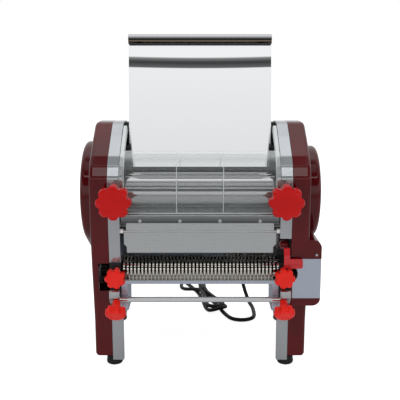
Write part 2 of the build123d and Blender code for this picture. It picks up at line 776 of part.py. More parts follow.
def cutter_blocks():
    """End blocks of the cutter, which slide into the notches of the side frames."""
    low = notch_bottom + seat_gap
    high = notch_top - seat_gap
    back = notch_depth - 1
    body = slab([(block_face, low), (back, low), (back, high), (block_face, high)],
                frame_inner + seat_gap, frame_outer - seat_gap, 2.0)
    radius = cutter_journal_diameter / 2 + running_clearance
    for axis in (cutter_front_axis, cutter_rear_axis):
        body -= rod_x(radius, frame_inner, frame_outer, axis)
    return body


def cutter_block_pair():
    """Both end blocks, tapped on their front for the clamp screws."""
    body = cutter_blocks()
    body -= rod_y(clamp_screw_diameter / 2 + running_clearance, 0, clamp_screw_reach,
                  clamp_knob_x, clamp_knob_height)
    return both_sides(body)


def comb(bar_front, roll_axis, mirror_depth, shift):
    """Comb strip with one finger in every groove of a ring roller."""
    tip = groove_radius + 0.8
    front = bar_front + 0.6
    back = bar_front + comb_bar_depth - 0.6
    beak = point_at(roll_axis, tip + 2.2, 200)
    high, middle, low = [point_at(roll_axis, tip, angle) for angle in (196, 217, 238)]
    finger = make_face([Line((front, comb_bar_top), beak), Line(beak, high), ThreePointArc(high, middle, low),
                        Line(low, (back, comb_bar_top)), Line((back, comb_bar_top), (front, comb_bar_top))])
    strip = block((-frame_inner + 0.6, frame_inner - 0.6), (front, back), (comb_bar_top, comb_bar_top + 1.2))
    first = shift - (ring_count - 2) / 2 * ring_pitch - comb_finger_width / 2
    fingers = [thick(finger, first + index * ring_pitch, first + index * ring_pitch + comb_finger_width)
               for index in range(ring_count - 1)]
    whole = strip + fingers
    return mirror(whole, about=Plane.XZ.offset(-mirror_depth)) if mirror_depth else whole


def combs():
    middle = cutter_front_depth + cutter_centres / 2
    return joined([comb(comb_front, cutter_front_axis, 0.0, ring_pitch / 4),
                   comb(comb_front, cutter_front_axis, middle, -ring_pitch / 4)])


def comb_frame():
    """Two bars under the combs, joined by a bracket at each end."""
    middle = cutter_front_depth + cutter_centres / 2
    low = comb_bar_top - comb_bar_height
    front_bar = block((-frame_inner + 0.3, frame_inner - 0.3), (comb_front, comb_front + comb_bar_depth),
                      (low, comb_bar_top))
    rear_bar = mirror(front_bar, about=Plane.XZ.offset(-middle))
    back = 2 * middle - comb_front
    outside = frame_inner - seat_gap
    bracket = slab([(comb_front + 5, comb_bracket_bottom), (back - 4, comb_bracket_bottom), (back, low + 1),
                    (comb_front, low + 1)], outside - comb_bracket_thickness, outside, [8.0, 8.0, 0.0, 0.0])
    return front_bar + rear_bar + bracket + mirrored(bracket)


# ---- cutter drive on the right ----
def cutter_drive():
    """Cutter drive gear on the rear roller, the idler and the sliding clutch gear."""
    x = (second_plane, second_plane_end)
    to_idler = direction(rear_axis, idler_axis)
    idler_tooth = meshing_tooth(0.0, cutter_drive_teeth, to_idler, idler_teeth)
    to_clutch = direction(idler_axis, cutter_rear_axis)
    clutch_tooth = meshing_tooth(idler_tooth, idler_teeth, to_clutch, clutch_gear_teeth)
    driver = gear(cutter_drive_teeth, drive_module, *x, rear_axis, 0.0, journal_radius)
    driver -= (rod_x(24, second_plane - 1, second_plane + 1.5, rear_axis)
               - rod_x(journal_radius + 4, 0, 300, rear_axis))
    stud = stud_diameter / 2
    idler = gear(idler_teeth, drive_module, *x, idler_axis, idler_tooth, stud + running_clearance)
    for index in range(5):
        idler -= rod_x(7.0, *x, point_at(idler_axis, 21.0, 72 * index))
    wide = (second_plane - clutch_travel, second_plane_end)
    clutch = gear(clutch_gear_teeth, drive_module, *wide, cutter_rear_axis, clutch_tooth, stud * 0.9)
    return driver, idler, clutch + clutch_spindle()


def clutch_spindle():
    """Spindle with a tongue that enters the slotted end of the rear ring roller and a groove for the fork."""
    radius = stud_diameter / 2
    start = frame_outer + seat_gap
    shaft = rod_x(radius, start, second_plane_end, cutter_rear_axis)
    shaft -= (rod_x(radius + 1, clutch_fork_x[0] - 0.3, clutch_fork_x[1] + 0.3, cutter_rear_axis)
              - rod_x(radius - fork_groove, 0, 300, cutter_rear_axis))
    y, z = cutter_rear_axis
    tongue = block((start - tongue_reach, start + 0.5), (y - tongue_width / 2, y + tongue_width / 2),
                   (z - radius + 0.4, z + radius - 0.4))
    return shaft + tongue


def clutch_fork():
    """Fork that rides on the lever's shaft and shifts the clutch spindle."""
    outline = make_hull(round_end(lever_pivot, lever_shaft_diameter / 2 + 3.5)
                        + round_end(cutter_rear_axis, stud_diameter / 2 + 3))
    plate = thick(outline, *clutch_fork_x)
    plate -= rod_x(lever_shaft_diameter / 2 + running_clearance, 0, 300, lever_pivot)
    mouth = stud_diameter / 2 - fork_groove + 0.3
    plate -= rod_x(mouth, 0, 300, cutter_rear_axis)
    y, z = cutter_rear_axis
    return plate - block((0, 300), (y - mouth, y + mouth), (z - 20, z))


def gear_bracket():
    """Plate on the outside of the right frame with the idler stud and the bearings of spindle and lever."""
    outline = side_face([(24, 178), (40, 141), (62, 141), (84, 196), (72, 226), (30, 222)], 8.0)
    plate = thick(outline, frame_outer, frame_outer + bracket_thickness)
    plate += rod_x(stud_diameter / 2 + 3, frame_outer, second_plane - 0.4, idler_axis)
    plate += rod_x(stud_diameter / 2, frame_outer, second_plane_end + 0.8, idler_axis)
    plate -= rod_x(stud_diameter / 2 + running_clearance, 0, 300, cutter_rear_axis)
    return plate - rod_x(lever_shaft_diameter / 2 + running_clearance, 0, 300, lever_pivot)


def clutch_lever():
    """Bent lever: shaft, hub, arm through the slot and a handle with a side tab."""
    low, high = lever_x
    arm = bent_sheet([(lever_pivot[0], lever_pivot[1] - 1), (-1, 192), (-5.5, 181), (-5.5, 162.2)],
                     [3.0, 6.0], lever_thickness, low, high)
    tab = block((high - 2, lever_tab_reach), (-5.5, -5.5 + lever_thickness), (162.2, 176.4))
    tab = fillet(tab.edges().filter_by(Axis.Y).group_by(Axis.X)[-1], 3.0)
    ridge = rod_x(0.9, high - 2, lever_tab_reach - 2, (-5.5, 167.5))
    shaft = rod_x(lever_shaft_diameter / 2, low - 2, second_plane - 1, lever_pivot)
    hub = rod_x(6.5, low - 0.5, frame_outer - 1, lever_pivot)
    return arm + tab + ridge + shaft + hub


# ---- knobs and clamps ----
def gap_knob():
    hub_length = big_knob_front - big_knob_thickness - 6
    knob = star_knob(big_knob_diameter, big_knob_lobes, big_knob_thickness, hub_length, 10.0, 0, 0)
    knob -= Pos(0, 0, big_knob_thickness * 0.7) * Cylinder(gap_screw_diameter / 2, big_knob_front,
                                                          align=(Align.CENTER, Align.CENTER, Align.MIN))
    return Pos(gap_knob_x, -big_knob_front, roller_height) * Rot(-90, 0, 0) * knob


def gap_screw():
    """Screw from inside the knob, through the frame, into the bearing block."""
    start = -big_knob_front + big_knob_thickness * 0.7
    screw = rod_y(gap_screw_diameter / 2, start, gap_screw_reach, gap_knob_x, roller_height)
    collar = rod_y(gap_screw_diameter / 2 + 3, -4, -seat_gap, gap_knob_x, roller_height)
    return screw + collar


def clamp_knob():
    """Star knob that clamps the cutter's end block, with its moulded-in screw."""
    knob = star_knob(small_knob_diameter, small_knob_lobes, small_knob_thickness, small_hub_length, 5.5,
                     clamp_screw_diameter / 2, clamp_screw_length)
    front = block_face - 0.6 - small_knob_thickness - small_hub_length
    return Pos(clamp_knob_x, front, clamp_knob_height) * Rot(-90, 0, 0) * knob


def lower_knob_axis():
    """Seat of the lower knob on the bracket and its direction, in the side view."""
    seat = point_at(bracket_face, bracket_face_length / 2, lower_knob_tilt - 90)
    return seat, point_at((0.0, 0.0), 1.0, 180 + lower_knob_tilt)


def on_lower_axis(distance):
    """Place on the lower knob's axis, at a distance ahead of its seat."""
    seat, ahead = lower_knob_axis()
    place = Pos(clamp_knob_x, seat[0] + ahead[0] * distance, seat[1] + ahead[1] * distance)
    return place * Rot(lower_knob_tilt - 90, 0, 0)


def lower_knob():
    knob = star_knob(small_knob_diameter, small_knob_lobes, small_knob_thickness, small_hub_length, 5.5,
                     clamp_screw_diameter / 2, 8.0)
    return on_lower_axis(small_knob_thickness + small_hub_length + 0.8) * knob


def clamp_brackets():
    """Steel brackets below the cutter that hold the front bar and the lower knobs."""
    lower = point_at(bracket_face, bracket_face_length, lower_knob_tilt - 90)
    body = slab([(2.6, 130), (2.6, 121.6), (11.5, 121.6), (14.0, 105), (lower[0], 105), lower, bracket_face,
                 (bracket_face[0], 130)], 118.0, 132.9, [0.0, 0.0, 1.0, 0.0, 0.0, 0.0, 2.0, 4.0])
    hole = on_lower_axis(-4.5) * Cylinder(clamp_screw_diameter / 2 + running_clearance, 9.2)
    return both_sides(body - hole)


def front_tie_bar():
    return rod_x(tie_bar_diameter / 2, -118.0, 118.0, (tie_bar_depth, tie_bar_height))


# ---- guard, tray, scrapers, chute ----
def guard_path(inset, bottom):
    """Line of the clear guard from its top edge down to just above the scraper."""
    top = frame_height
    return [(28, top - 37 - inset), (12.5 + inset, top - 46.5 - inset), (2.2 + inset, top - 65),
            (2.2 + inset, bottom)]


def guard_shield():
    """Clear bent guard with two stiffening ribs on its inner side."""
    half = guard_width / 2
    shield = bent_sheet(guard_path(0.0, guard_bottom), [20.0, 24.0], guard_thickness, -half, half)
    rib = guard_path(guard_thickness / 2, guard_bottom + rib_rise)
    for x in (-rib_x, rib_x):
        shield += bent_sheet(rib, [20.0, 24.0], guard_thickness / 2 + rib_depth, x - 0.9, x + 0.9)
    return shield


def guard_rails():
    """Steel strips along the front edges of the side frames that hold the guard."""
    top = frame_height
    points = [(80, top - 5), (56.6, top - 20), (20.9, top - 45.2), (8.8, top - 57.7), (1.5, top - 73),
              (1.5, guard_bottom)]
    rail = bent_sheet(points, [30.0, 20.0, 16.0, 16.0], rail_depth, guard_width / 2 + seat_gap,
                      frame_inner - seat_gap)
    return both_sides(rail)


def tray_point(along, across):
    """Point of the side view, along the tray from its foot and across it to the rear."""
    return point_at(point_at(tray_foot, along, 90 - tray_lean), across, -tray_lean)


def tray_strip(along, across):
    return [tray_point(along[0], across[0]), tray_point(along[1], across[0]), tray_point(along[1], across[1]),
            tray_point(along[0], across[1])]


def feed_tray():
    """Steel sheet with folded side hems and a rolled top edge."""
    half = tray_width / 2
    tray = slab(tray_strip((0, tray_length), (0, tray_thickness)), -half, half)
    hem = slab(tray_strip((guide_length + 4, tray_length - 2), (-tray_hem, 0.5)), half - tray_thickness, half)
    radius = tray_roll_diameter / 2
    centre = tray_point(tray_length, tray_thickness - radius)
    roll = rod_x(radius, -half, half, centre) - rod_x(radius - tray_thickness, -half - 1, half + 1, centre)
    return tray + hem + mirrored(hem) + roll


def tray_guides():
    """Grooved blocks on the frames that hold the lower corners of the tray."""
    guide = slab(tray_strip((-3, guide_length), (-6, 7)), tray_width / 2 - 3, frame_inner - seat_gap, 2.0)
    groove = slab(tray_strip((-0.3, guide_length + 5), (-0.3, tray_thickness + 0.3)), 0, tray_width / 2 + 0.4)
    return both_sides(guide - groove)


def front_scraper():
    """Scraper of the front roller: front lip, blade and the ears that join it to the sliding blocks."""
    half = scraper_width / 2
    back = 0.5 + sheet_thickness
    scraper = block((-half, half), (0.5, back), (229, 239))
    scraper += bent_sheet([(back, 230), (back, 238.5), (22.0, 245.1)], [2.0], sheet_thickness,
                          -blade_width / 2, blade_width / 2)
    ear = block((blade_width / 2 - 1, half), (19, 40), (242.5, 262)) \
        + block((half - 0.5, frame_inner + seat_gap), (24, 36), (248, 260))
    ear -= rod_x(journal_radius + 2, 0, 200, front_axis)
    ear -= rod_x(roller_radius + 0.6, 0, roller_length / 2 + 0.5, front_axis)
    return scraper + ear + mirrored(ear)


def scraper_screws():
    head = Cylinder(screw_head_radius, 1.5)
    head = fillet(head.edges().group_by(Axis.Z)[-1], 0.8) - Pos(0, 0, 0.8) * Box(3.6, 0.7, 0.8)
    return joined([Pos((index - 1.5) * scraper_screw_spacing, 0.5 - 0.75, 232.2) * Rot(90, 0, 0) * head
                   for index in range(4)])


def rear_scraper():
    half = frame_inner - seat_gap
    return bent_sheet([(122.2, 243.6), (140, 236), (140, 229.5)], [3.0], sheet_thickness, -half, half)


def chute_flap():
    """Flap under the rollers: top flange, hinge rod and a panel with a bent lip."""
    y, z = chute_pivot
    half = chute_width / 2
    narrow = half - 4
    top = z - 2
    step = (top - chute_foot) * 0.13
    shoulder = chute_foot + step * 3.3
    front = Plane.XZ.offset(chute_gap - y)
    flange = front * (Pos(0, z + 6) * RectangleRounded(2 * half - 7, 13, 2.5))
    corners = [(-half, top), (half, top), (half, shoulder), (narrow, shoulder - step), (narrow, chute_foot),
               (-narrow, chute_foot), (-narrow, shoulder - step), (-half, shoulder)]
    radii = [1.0, 1.0, step * 0.75, step * 0.75, step * 0.5, step * 0.5, step * 0.75, step * 0.75]
    outline = make_face(FilletPolyline(*corners, radius=radii, close=True).edges())
    sheet = extrude(front * outline, -sheet_thickness) + extrude(flange, -sheet_thickness)
    face = y - chute_gap
    lip = slab([(face, chute_foot), (face + 6, chute_foot - 3), (face + 6.6, chute_foot - 1.6),
                (face + sheet_thickness, chute_foot + 1.2)], -narrow, narrow)
    radius = chute_rod_diameter / 2
    rod = rod_x(radius, -half - 0.5, half + 0.5, chute_pivot)
    pin = rod_x(radius - 1, -frame_inner + 0.4, frame_inner - 0.4, chute_pivot)
    return sheet + lip + rod + pin


def chute_caps():
    cap = rod_x(chute_rod_diameter / 2 + 0.4, chute_width / 2 + 0.8, frame_inner, chute_pivot)
    cap -= rod_x(chute_rod_diameter / 2 - 1 + running_clearance, 0, frame_inner - 0.2, chute_pivot)
    return both_sides(cap)


# ---- switch ----
def switch_body():
    """Switch housing through the wall of the box, with a rim and a well for the rocker."""
    body = around_switch((box_outer - switch_depth, box_outer), -seat_gap)
    body += around_switch((box_outer, box_outer + 1.6), 1.5)
    body -= around_switch((box_outer - 9, box_outer + 5), -1.6)
    return body - rocker_pin(running_clearance, 0.0)


def rocker_pivot():
    return (box_outer - 2.5, switch_centre[1])


def rocker_pin(clearance, shorter):
    """Pin of the rocker, held in the side walls of the housing."""
    half = switch_size[0] / 2 - 0.4 - shorter
    middle = switch_centre[0]
    return rod_y(rocker_pin_diameter / 2 + clearance, middle - half, middle + half, *rocker_pivot())


def switch_rocker():
    """Rocker with a shallow V face, resting with its lower half pressed in."""
    width, height = switch_size
    half = height / 2 - 2.4
    x, z = rocker_pivot()
    corners = [(-2.5, -half + 1), (3.4, -half), (2.0, 0), (3.4, half), (-2.5, half - 1)]
    outline = side_face(corners, [1.0, 1.0, 4.0, 1.0, 1.0])
    rocker = extrude(Plane.XZ * (Rot(0, 0, -rocker_swing / 2) * outline), (width - 4.0) / 2, both=True)
    return Pos(x, switch_centre[0], z) * rocker + rocker_pin(0.0, seat_gap)


# ---- cord ----
cord_rest = cord_diameter / 2 + 0.1
gland_face = rear_cover_back + 0.1
cord_points = [
    (gland_x, gland_face + gland_length, gland_height), (70, 301, 120), (73, 335, 86), (81, 337, 42),
    (93, 306, 5), (99, 278, cord_rest), (100, 252, cord_rest), (99, 221.5, cord_rest),
    (88.3, 208.3, cord_rest), (71.7, 204.7, cord_rest), (56.5, 212.4, cord_rest), (49, 229, cord_rest),
    (43, 245.5, cord_rest)]


def cord_route():
    """Straight runs joined by tangent arcs, each as large as its two runs allow."""
    points = [Vector(*point) for point in cord_points]
    radii_list = []
    for before, here, after in zip(points, points[1:], points[2:]):
        turn = radians((here - before).get_angle(after - here))
        radii_list.append(0.45 * min((here - before).length, (after - here).length) / tan(turn / 2))
    return FilletPolyline(*points, radius=radii_list), radii_list


def power_cord():
    route, radii_list = cord_route()
    tube = sweep(Plane(origin=route @ 0, z_dir=route % 0) * Circle(cord_diameter / 2), route.wire())
    expected = pi * cord_diameter ** 2 / 4 * route.length
    print("cord length", round(route.length, 1), "smallest radius", round(min(radii_list), 1),
          "volume ratio", round(tube.volume / expected, 4))
    return tube


def cord_hank():
    """Outer shape of the folded cord behind the machine, drawn in at its tie, with a loose side."""
    near_half = make_hull(round_end(*hank_near) + round_end(*hank_waist))
    far_half = make_hull(round_end(*hank_waist) + round_end(*hank_side) + round_end(*hank_far))
    body = extrude(near_half + far_half, hank_height)
    return fillet(body.edges().group_by(Axis.Z)[-1], hank_height * 0.4)


def cord_gland():
    """Strain relief: a flange on the rear cover and a tapered sleeve round the cord."""
    radius = cord_diameter / 2
    outline = Polyline((0, 0), (radius + 4.5, 0), (radius + 4.5, 3), (radius + 2.6, 4),
                       (radius + 0.8, gland_length), (0, gland_length), close=True)
    body = revolve(Plane.XZ * make_face(outline.edges()), Axis.Z)
    return Pos(gland_x, gland_face, gland_height) * Rot(-90, 0, 0) * body


def power_plug():
    """Two-pin plug with a tapered sleeve, lying flat beside the far end of the hank."""
    middle = plug_height / 2
    grip = Pos(plug_grip / 2, 0, middle) * Box(plug_grip, plug_width, plug_height)
    grip = fillet(grip.edges().filter_by(Axis.X), plug_height * 0.35)
    face = Pos(plug_grip + 1, 0, middle) * Rot(0, 90, 0) * Cylinder(middle - 1.5, 4)
    sleeve = Pos(-plug_sleeve / 2, 0, middle) * Rot(0, 90, 0) * Cone(cord_diameter / 2 + 1, 7.0, plug_sleeve)
    pins = [Pos(plug_grip + plug_pin_length / 2 + 2, side * plug_pin_spacing / 2, middle)
            * Box(plug_pin_length + 2, 1.6, 6.4) for side in (-1, 1)]
    heading = direction(hank_near[0], hank_far[0])
    beside = point_at(hank_far[0], plug_start[1], heading - 90)
    place = point_at(beside, plug_start[0] + plug_sleeve, heading)
    return Pos(*place, 0) * Rot(0, 0, heading) * (grip + face + sleeve + pins)


# ---- the whole machine ----
def build_parts():
    front_gear, rear_gear = roller_gear_pair()
    drive_wheel, countershaft = primary_drive()
    roll_front, roll_rear = cutter_rolls()
    cutter_driver, idler, clutch = cutter_drive()
    knob, screw, upper, lower = gap_knob(), gap_screw(), clamp_knob(), lower_knob()
    return {
        "side_frame_left": side_frame_left(), "side_frame_right": side_frame_right(),
        "cover_left": cover_left(), "cover_right": cover_right(), "control_panel": control_panel(),
        "rear_cover": rear_cover(), "tie_rods": tie_rods(), "rubber_feet": rubber_feet(),
        "cover_screws": cover_screws(), "shaft_bushes": shaft_bushes(),
        "front_roller": front_roller(), "rear_roller": rear_roller(), "bearing_blocks": bearing_blocks(),
        "front_roller_gear": front_gear, "rear_roller_gear": rear_gear,
        "drive_gear": drive_wheel, "pinion_shaft": countershaft,
        "large_pulley": pulley(large_pulley_radius, countershaft_diameter / 2, countershaft_axis, 14.0),
        "motor_pulley": pulley(motor_pulley_radius, motor_shaft_diameter / 2, motor_axis, 14.0),
        "drive_belt": drive_belt(), "motor_body": motor_body(), "motor_plate": motor_plate(),
        "motor_shaft": motor_shaft(), "capacitor": capacitor(),
        "cutter_roll_front": roll_front, "cutter_roll_rear": roll_rear, "cutter_blocks": cutter_block_pair(),
        "combs": combs(), "comb_frame": comb_frame(),
        "cutter_drive_gear": cutter_driver, "idler_gear": idler, "clutch_gear": clutch,
        "clutch_fork": clutch_fork(), "gear_bracket": gear_bracket(), "clutch_lever": clutch_lever(),
        "gap_knob_right": knob, "gap_knob_left": mirrored(knob),
        "gap_screw_right": screw, "gap_screw_left": mirrored(screw),
        "clamp_knob_right": upper, "clamp_knob_left": mirrored(upper),
        "lower_knob_right": lower, "lower_knob_left": mirrored(lower),
        "clamp_brackets": clamp_brackets(), "front_tie_bar": front_tie_bar(),
        "guard_shield": guard_shield(), "guard_rails": guard_rails(), "feed_tray": feed_tray(),
        "tray_guides": tray_guides(), "front_scraper": front_scraper(), "scraper_screws": scraper_screws(),
        "rear_scraper": rear_scraper(), "chute_flap": chute_flap(), "chute_caps": chute_caps(),
        "switch_body": switch_body(), "switch_rocker": switch_rocker(),
        "cord_gland": cord_gland(), "power_cord": power_cord(), "cord_hank": cord_hank(),
        "power_plug": power_plug(),
    }


def main():
    os.makedirs("parts", exist_ok=True)
    for name, shape in build_parts().items():
        export_step(bench_shift * shape, f"parts/{name}.step")


if __name__ == "__main__":
    main()
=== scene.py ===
import math
import bmesh
import bpy
import numpy as np
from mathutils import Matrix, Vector


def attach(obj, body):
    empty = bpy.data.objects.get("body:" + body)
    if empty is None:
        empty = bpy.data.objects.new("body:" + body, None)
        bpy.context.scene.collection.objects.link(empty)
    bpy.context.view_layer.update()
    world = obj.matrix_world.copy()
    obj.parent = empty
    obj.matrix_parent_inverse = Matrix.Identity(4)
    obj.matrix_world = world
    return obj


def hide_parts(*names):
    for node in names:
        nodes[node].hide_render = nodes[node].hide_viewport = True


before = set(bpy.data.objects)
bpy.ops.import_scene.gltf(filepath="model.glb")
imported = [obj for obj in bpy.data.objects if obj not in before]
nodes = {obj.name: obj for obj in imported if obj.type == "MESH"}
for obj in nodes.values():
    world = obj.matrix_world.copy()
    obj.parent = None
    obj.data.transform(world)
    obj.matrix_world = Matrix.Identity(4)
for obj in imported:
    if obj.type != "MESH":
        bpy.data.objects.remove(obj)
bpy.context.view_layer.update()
print("frame loaded", len(nodes), "nodes")

# the bench frame of the cad source, where y 0 is the front plane of the side frames
benchShift = -0.103


def bench(x, y, z):
    # a point given in bench millimetres, in metres of the row frame
    return Vector((x / 1000, y / 1000 + benchShift, z / 1000))


# materials

# noise seldom leaves this middle part of 0..1
noiseSpan = (0.25, 0.75)
# stretch of a noise whose lines run along x
alongX = (0.02, 1, 1)
# radius in metres over which sharp edges of bent sheet catch the light
sheetEdge = 0.0006


def setInputs(node, values):
    # fixed values of a node's inputs, by name
    for name, value in values.items():
        node.inputs[name].default_value = value


def startMaterial(name, color, roughness, metallic=0.0):
    # a principled material with object coordinates ready to use
    mat = bpy.data.materials.new(name)
    mat.use_nodes = True
    tree = mat.node_tree
    shader = tree.nodes["Principled BSDF"]
    setInputs(shader, {"Base Color": (*color, 1), "Roughness": roughness, "Metallic": metallic})
    coords = tree.nodes.new("ShaderNodeTexCoord")
    return mat, tree, shader, coords.outputs["Object"]


def noiseAt(tree, coords, scale, detail=3.0, rough=0.55, stretch=(1, 1, 1)):
    # noise over stretched object coordinates, factor 0 to 1
    mapping = tree.nodes.new("ShaderNodeMapping")
    setInputs(mapping, {"Scale": stretch})
    noise = tree.nodes.new("ShaderNodeTexNoise")
    setInputs(noise, {"Scale": scale, "Detail": detail, "Roughness": rough})
    tree.links.new(coords, mapping.inputs["Vector"])
    tree.links.new(mapping.outputs["Vector"], noise.inputs["Vector"])
    return noise.outputs["Fac"]


def rampTo(tree, factor, stops):
    # color ramp with (position, color) stops
    ramp = tree.nodes.new("ShaderNodeValToRGB")
    elements = ramp.color_ramp.elements
    while len(elements) < len(stops):
        elements.new(0.5)
    for element, (place, color) in zip(elements, stops):
        element.position = place
        element.color = (*color, 1)
    tree.links.new(factor, ramp.inputs["Fac"])
    return ramp.outputs["Color"]


def mapRange(tree, factor, source, result=(0.0, 1.0), ease="LINEAR"):
    # result low + (factor - source low) / source span * result span, held to the result's span
    node = tree.nodes.new("ShaderNodeMapRange")
    node.interpolation_type = ease
    setInputs(node, dict(zip(("From Min", "From Max", "To Min", "To Max"), (*source, *result))))
    tree.links.new(factor, node.inputs["Value"])
    return node.outputs["Result"]


def splitAxes(tree, vector):
    # the X, Y and Z outputs of a vector socket
    split = tree.nodes.new("ShaderNodeSeparateXYZ")
    tree.links.new(vector, split.inputs["Vector"])
    return split.outputs


def mathNode(tree, operation, first, second):
    # result of one math node; each input is a socket or a number
    node = tree.nodes.new("ShaderNodeMath")
    node.operation = operation
    for socket, value in zip(node.inputs, (first, second)):
        if isinstance(value, (int, float)):
            socket.default_value = value
        else:
            tree.links.new(value, socket)
    return node.outputs["Value"]


def vectorNode(tree, operation, first, second=(0, 0, 0)):
    # outputs of one vector math node; the first input is a socket, the second a fixed vector
    node = tree.nodes.new("ShaderNodeVectorMath")
    node.operation = operation
    tree.links.new(first, node.inputs[0])
    node.inputs[1].default_value = second
    return node.outputs


def mixColors(tree, factor, first, second, blend="MIX"):
    # first where the factor is 0, and blended with second where it is 1
    mix = tree.nodes.new("ShaderNodeMix")
    mix.data_type = "RGBA"
    mix.blend_type = blend
    for name, value in (("Factor", factor), ("A", first), ("B", second)):
        if isinstance(value, float):
            mix.inputs[name].default_value = value
        else:
            tree.links.new(value, mix.inputs[name])
    return mix.outputs["Result"]


def heightShare(tree, coords, span):
    # (z - low) / (high - low), held to 0..1
    return mapRange(tree, splitAxes(tree, coords)["Z"], span)


def colorBy(tree, shader, factor, stops):
    # base color from a ramp over the factor
    tree.links.new(rampTo(tree, factor, stops), shader.inputs["Base Color"])


def roughenBy(tree, shader, noise, low, high):
    # roughness low..high over the usual span of a noise
    tree.links.new(mapRange(tree, noise, noiseSpan, (low, high)), shader.inputs["Roughness"])


def addBump(tree, shader, height, distance, strength, edge=0.0):
    # fine relief; an edge radius also rounds the shading of sharp edges, so that they catch the light
    bump = tree.nodes.new("ShaderNodeBump")
    setInputs(bump, {"Distance": distance, "Strength": strength})
    tree.links.new(height, bump.inputs["Height"])
    tree.links.new(bump.outputs["Normal"], shader.inputs["Normal"])
    if edge:
        rounded = tree.nodes.new("ShaderNodeBevel")
        rounded.samples = 6
        setInputs(rounded, {"Radius": edge})
        tree.links.new(rounded.outputs["Normal"], bump.inputs["Normal"])


def toned(color, share):
    # every channel times the share
    return tuple(c * share for c in color)


def makePaint(name, color, roughness, coat, grain, bumpDepth, shade=0.85, specular=0.5, metallic=0.0,
              edge=0.0008):
    # painted surface: slight mottling, fine orange peel and a coat
    mat, tree, shader, coords = startMaterial(name, color, roughness, metallic)
    light = tuple(min(1, c) for c in toned(color, 2 - shade))
    colorBy(tree, shader, noiseAt(tree, coords, 14, 4), [(0.3, toned(color, shade)), (0.7, light)])
    peel = noiseAt(tree, coords, grain, 2)
    roughenBy(tree, shader, peel, roughness * 0.85, roughness * 1.2)
    setInputs(shader, {"Specular IOR Level": specular, "Coat Weight": coat, "Coat Roughness": 0.06})
    addBump(tree, shader, peel, bumpDepth, 0.35, edge)
    return mat


def makeBrushed(name, color, roughness, stretch, grain, bumpDepth, shade=0.8, edge=0.0):
    # brushed or turned metal: lines drawn out along the short side of the stretch
    mat, tree, shader, coords = startMaterial(name, color, roughness, 1.0)
    lines = noiseAt(tree, coords, grain, 4, 0.7, stretch)
    colorBy(tree, shader, lines, [(0.3, toned(color, shade)), (0.65, color)])
    roughenBy(tree, shader, lines, roughness * 0.7, roughness * 1.4)
    addBump(tree, shader, lines, bumpDepth, 0.4, edge)
    return mat


def makePolished(name, color, roughness, spread, swell, tone=0.97):
    # mirror finish: faint rolling lines in its tone, smudges in its roughness and a slow swell in its relief
    mat, tree, shader, coords = startMaterial(name, color, roughness, 1.0)
    roughenBy(tree, shader, noiseAt(tree, coords, 9, 5, 0.6), roughness * 0.6, roughness * spread)
    lines = noiseAt(tree, coords, 900, 2, stretch=alongX)
    colorBy(tree, shader, lines, [(0.35, toned(color, tone)), (0.6, color)])
    addBump(tree, shader, noiseAt(tree, coords, 5, 1), 0.004, swell)
    return mat


def makeTray(name, color, facts):
    # polished sheet, whose rolled top edge carries painted reflections and painted shade in stripes by
    # height, standing in for the room the roll mirrors
    mat = makePolished(name, color, roughness=0.006, spread=1.5, swell=0.004, tone=0.995)
    tree = mat.node_tree
    shader = tree.nodes["Principled BSDF"]
    plain = shader.inputs["Base Color"].links[0].from_socket
    coords = tree.nodes["Texture Coordinate"].outputs["Object"]
    # painted reflections and shade of the rolled edge, by height, multiplied into the polished tone
    paintedReflections = rampTo(tree, heightShare(tree, coords, facts["rollSpan"]), facts["paintedReflections"])
    tree.links.new(mixColors(tree, 1.0, plain, paintedReflections, "MULTIPLY"), shader.inputs["Base Color"])
    return mat


def makeRingSteel(name, centre, facts):
    # ring roller: painted shade makes it dark in the grooves and beyond the frames, and bright on the rings,
    # by the distance from the axis sqrt((y - cy)^2 + (z - cz)^2), with fine turning marks
    dark, bright = facts["grooveShade"], facts["bright"]
    mat, tree, shader, coords = startMaterial(name, bright, 0.14, 1.0)
    across = mathNode(tree, "ABSOLUTE", splitAxes(tree, coords)["X"], 0.0)
    between = mathNode(tree, "LESS_THAN", across, facts["halfSpan"])
    offset = vectorNode(tree, "SUBTRACT", coords, (0, *centre))["Vector"]
    inPlane = vectorNode(tree, "MULTIPLY", offset, (0, 1, 1))["Vector"]
    distance = vectorNode(tree, "LENGTH", inPlane)["Value"]
    # 0 where painted shade darkens the grooves and the ends beyond the frames, 1 on the bright rings
    wearAndShade = mathNode(tree, "MULTIPLY", mapRange(tree, distance, facts["radii"]), between)
    colorBy(tree, shader, wearAndShade, [(0.0, dark), (0.75, dark), (1.0, bright)])
    marks = noiseAt(tree, coords, 1600, stretch=(1, 0.1, 0.1))
    roughenBy(tree, shader, marks, 0.07, 0.16)
    addBump(tree, shader, marks, 0.00003, 0.3)
    return mat


def makeShaded(name, facts, roughness, grain):
    # satin steel sheet with painted shade and a painted highlight by height: dark low down, as the soft
    # shadow below its lip, and a bright band near the lip's top edge
    mat, tree, shader, coords = startMaterial(name, facts["shadeAndHighlight"][0][1], roughness, 1.0)
    colorBy(tree, shader, heightShare(tree, coords, facts["span"]), facts["shadeAndHighlight"])
    lines = noiseAt(tree, coords, grain, 4, 0.7, alongX)
    roughenBy(tree, shader, lines, roughness * 0.8, roughness * 1.3)
    addBump(tree, shader, lines, 0.00003, 0.4, sheetEdge)
    return mat


def makePlastic(name, color, roughness, grain, bumpDepth, shade=0.85):
    # moulded plastic: soft flow marks and a fine moulded grain
    mat, tree, shader, coords = startMaterial(name, color, roughness)
    flow = noiseAt(tree, coords, 22, stretch=(1, 1, 2))
    colorBy(tree, shader, flow, [(0.3, toned(color, shade)), (0.7, color)])
    fine = noiseAt(tree, coords, grain, 2)
    roughenBy(tree, shader, fine, roughness * 0.85, roughness * 1.2)
    setInputs(shader, {"Specular IOR Level": 0.3})
    addBump(tree, shader, fine, bumpDepth, 0.3)
    return mat


